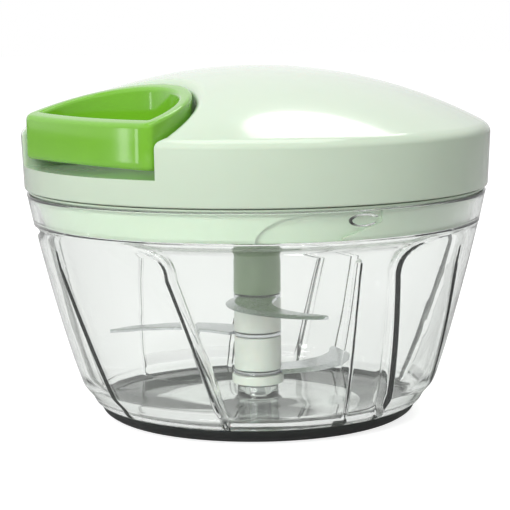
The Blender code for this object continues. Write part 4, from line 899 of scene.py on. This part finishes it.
def makeBlade(name, node, k):
    # A flat strip swept back as it goes out, ground to an edge on its leading side
    b = blades
    low, high = b["low"][k], b["low"][k] + b["thick"]
    t = np.linspace(0, 1, 70)
    t = np.sin(t * np.pi / 2)
    radius = b["start"] + (b["reach"][k] - b["start"]) * t
    azimuth = np.radians(b["azimuth"][k] + b["sweep"] * t ** b["sweepPower"])
    middle = radius[:, None] * np.stack([np.cos(azimuth), np.sin(azimuth)], axis=-1)
    ahead = np.stack([np.sin(azimuth), -np.cos(azimuth)], axis=-1)
    width = b["root"] + (b["tip"] - b["root"]) * t
    first, span = b["tipRound"]
    width = width * np.sqrt(np.maximum(1 - np.maximum((t - first) / span, 0) ** 2, 0.02))
    leading = width / 2 + b["belly"] * width * np.sin(np.pi * t)
    ground = np.minimum(b["bevel"], width * 0.6)
    rows = []
    for offset, height in ((-width / 2, low), (-width / 2 + 0.1, low), (leading - 0.05, low),
                           (leading, low + 0.06), (leading - 0.5 * ground, low + 0.38),
                           (leading - ground, high), (-width / 2 + 0.12, high), (-width / 2, high - 0.12)):
        flat = middle + ahead * np.asarray(offset)[:, None]
        rows.append(np.concatenate([flat, np.full((len(t), 1), height)], axis=1))
    arm = loftPiece(name, np.stack(rows, axis=1), steelBlade, angle=12)
    inner, outer = b["ring"]
    ring = turnedPiece("ring", filleted([
        (outer - 1, high, 0), (outer, high, 0.1), (outer, low, 0.1), (inner, low, 0.1),
        (inner, high, 0.1), (outer - 1, high, 0)]), 72, steelBlade)
    hole = rodPiece("hole", inner, (0, 0, low - 1), (0, 0, high + 1), 72)
    solidMix(arm, [hole], "DIFFERENCE")
    solidMix(arm, [ring], "UNION")
    finish(arm, 12)
    return settle(arm, "blades", node)


for k, name in enumerate(("blade_lower", "blade_middle", "blade_upper")):
    makeBlade(name + "_ground", name, k)
inner, outer = blades["ring"]
for node, low, high in core["spacers"]:
    piece = turnedPiece(node + "_moulded", filleted([
        (5, high, 0), (outer, high, 0.3), (outer, low, 0.3), (inner, low, 0.2), (inner, high, 0.2),
        (5, high, 0)]), 96, pomWhite)
    settle(piece, "blades", node)
tube, (flange, low, high), bore, boreTop = core["tube"], core["flange"], core["pinBore"], core["pinBoreTop"]
shaft = turnedPiece("blade_shaft_moulded", filleted([
    (0, core["top"], 0), (tube, core["top"], 0.4), (tube, high, 0.3), (flange, high, 0.4),
    (flange, low, 0.5), (bore, low, 0.3), (bore, boreTop, 0.2), (0, boreTop, 0)]), 96, pomWhite)
settle(shaft, "blades", "blade_shaft")
settle(smoothCopy("stem_sleeve", "stem_sleeve_moulded", absHub, 0.2), "blades", "stem_sleeve")
low, shoulder, high = core["pinSpan"]
pin = turnedPiece("centre_pin_turned", filleted([
    (0, high, 0), (core["pinPoint"], high, 0.3), (core["pin"], shoulder, 0.3), (core["pin"], low, 0.2),
    (0, low, 0)]), 64, steelBright)
settle(pin, "bowl", "centre_pin")
print("blade unit")


# Lid mechanism: the CAD's own shapes with broken edges

for names, body, material, slot, width in (
        ("drive_hub", "hub", absHub, "grey_green_plastic", 0.2),
        ("thrust_washer", "lid", pomWhite, "white_plastic", 0.08),
        ("pulley", "pulley", pomWhite, "white_plastic", 0.15),
        ("pawl_1 pawl_2", "pulley", steelBright, "steel", 0.12),
        ("recoil_spring", "lid", steelBright, "steel", 0.0),
        ("cord_guide", "lid", steelBright, "steel", 0.1),
        ("spindle", "spindle", steelBright, "steel", 0.2),
        ("cover_screw_1 cover_screw_2 cover_screw_3", "lid", steelBright, "steel", 0.15)):
    for node in names.split():
        settle(smoothCopy(node, node + "_finished", material, width), body, node)
print("lid mechanism")


# Floor, background and lights

studio = {
    "half": 3.0, "worldLight": 0.38, "ceiling": (48.0, 64.0, 0.45), "paper": "BCBCBC", "paperGlow": 0.82,
    "paperThrough": 0.62, "paperGloss": 0.05,
    # where gloss sees the room dimmer: spans of the direction's x, y and z, and how much light is left
    "rightSide": (0.05, 0.5), "frontSide": (0.4, -0.2), "sideTop": (0.15, 0.45), "nearSide": 0.45,
    "lamps": (
        # name, place, width, depth, power, aimed at
        ("key", (-0.62, -1.15, 0.72), 0.55, 0.75, 14.5, (0, 0, 0.05)),
        ("top", (0.0, -0.15, 1.30), 1.10, 0.70, 5.0, (0, 0, 0.08)),
        ("strip", (-0.55, 0.004, 0.055), 0.020, 0.10, 0.022, (0, 0, 0.055)),
        ("behind", (0.30, 0.58, 1.10), 0.74, 0.50, 2.8, (0, 0, 0.08)))}


def makeStudio():
    # World: soft light from all round. The camera sees it white. Gloss and clear plastic see it
    # white near the horizon and darker overhead, so that the lamps show there, and gloss sees
    # the room's near and right sides dimmer.
    s = studio
    world = bpy.data.worlds.new("studio")
    bpy.context.scene.world = world
    world.use_nodes = True
    tree = world.node_tree
    soft = tree.nodes["Background"]
    soft.inputs["Color"].default_value = (1, 1, 1, 1)
    soft.inputs["Strength"].default_value = s["worldLight"]
    low, high, dark = s["ceiling"]
    path = addNode(tree, "LightPath").outputs
    place = addNode(tree, "TexCoord")
    x, y, z = addNode(tree, "SeparateXYZ", None, {0: place.outputs["Generated"]}).outputs
    ceiling = mapNode(tree, z, (math.sin(math.radians(low)), math.sin(math.radians(high))), (1.0, dark),
                      "SMOOTHSTEP")
    near = mathNode(tree, "MAXIMUM", mapNode(tree, x, s["rightSide"]),
                    mapNode(tree, y, s["frontSide"]))
    near = mathNode(tree, "MULTIPLY", near, mapNode(tree, z, s["sideTop"], (1.0, 0.0)))
    near = mathNode(tree, "MULTIPLY", near, path["Is Glossy Ray"])
    dim = mapNode(tree, near, (0.0, 1.0), (1.0, s["nearSide"]))
    room = addNode(tree, "Background", {"Color": (1, 1, 1, 1)},
                   {"Strength": mathNode(tree, "MULTIPLY", ceiling, dim)})
    white = addNode(tree, "Background", {"Color": (1, 1, 1, 1), "Strength": 1.0})
    sees = mathNode(tree, "MAXIMUM", path["Is Glossy Ray"], path["Is Transmission Ray"])
    mixed = mixShaders(tree, sees, soft.outputs[0], room.outputs[0])
    mixed = mixShaders(tree, path["Is Camera Ray"], mixed, white.outputs[0])
    tree.links.new(mixed, tree.nodes["World Output"].inputs["Surface"])

    # Floor: grey paper, which glows where the camera sees it, so that it is white there and keeps
    # its shadow. It glows less for clear plastic and hardly for gloss.
    half = s["half"]
    mesh = bpy.data.meshes.new("floor")
    mesh.from_pydata([(-half, -half, 0), (half, -half, 0), (half, half, 0), (-half, half, 0)], [],
                     [(0, 1, 2, 3)])
    floor = newObject("floor", mesh)
    material, tree, shader = startMaterial("paper_matt", {
        "Base Color": hexLinear(s["paper"]), "Roughness": 0.9, "Specular IOR Level": 0.1})
    path = addNode(tree, "LightPath").outputs
    through = mapNode(tree, path["Is Transmission Ray"], (0.0, 1.0),
                      (s["paperGloss"], s["paperThrough"]))
    amount = addNode(tree, "MapRange", {"To Max": s["paperGlow"]},
                     {"Value": path["Is Camera Ray"], "To Min": through})
    glow = addNode(tree, "Emission", {"Color": (1, 1, 1, 1)}, {"Strength": amount.outputs[0]})
    both = addNode(tree, "AddShader", None, {0: shader.outputs[0], 1: glow.outputs[0]})
    seen = mathNode(tree, "MAXIMUM", path["Is Camera Ray"], path["Is Glossy Ray"])
    seen = mathNode(tree, "MAXIMUM", seen, path["Is Transmission Ray"])
    mixed = mixShaders(tree, seen, shader.outputs[0], both.outputs[0])
    tree.links.new(mixed, tree.nodes["Material Output"].inputs["Surface"])
    mesh.materials.append(material)

    for name, place, width, depth, power, target in s["lamps"]:
        data = bpy.data.lights.new(name, "AREA")
        data.shape = "ELLIPSE" if name == "behind" else "RECTANGLE"
        data.size, data.size_y = width, depth
        data.energy = power
        lamp = newObject(name, data)
        lamp.location = place
        lamp.rotation_euler = (Vector(target) - Vector(place)).to_track_quat("-Z", "Y").to_euler()
        lamp.visible_camera = False
        lamp.visible_glossy = name != "key"  # the key lights without a streak on the lid's shoulder


makeStudio()
settings = bpy.context.scene.view_settings
settings.view_transform = "Standard"
print("studio lit")
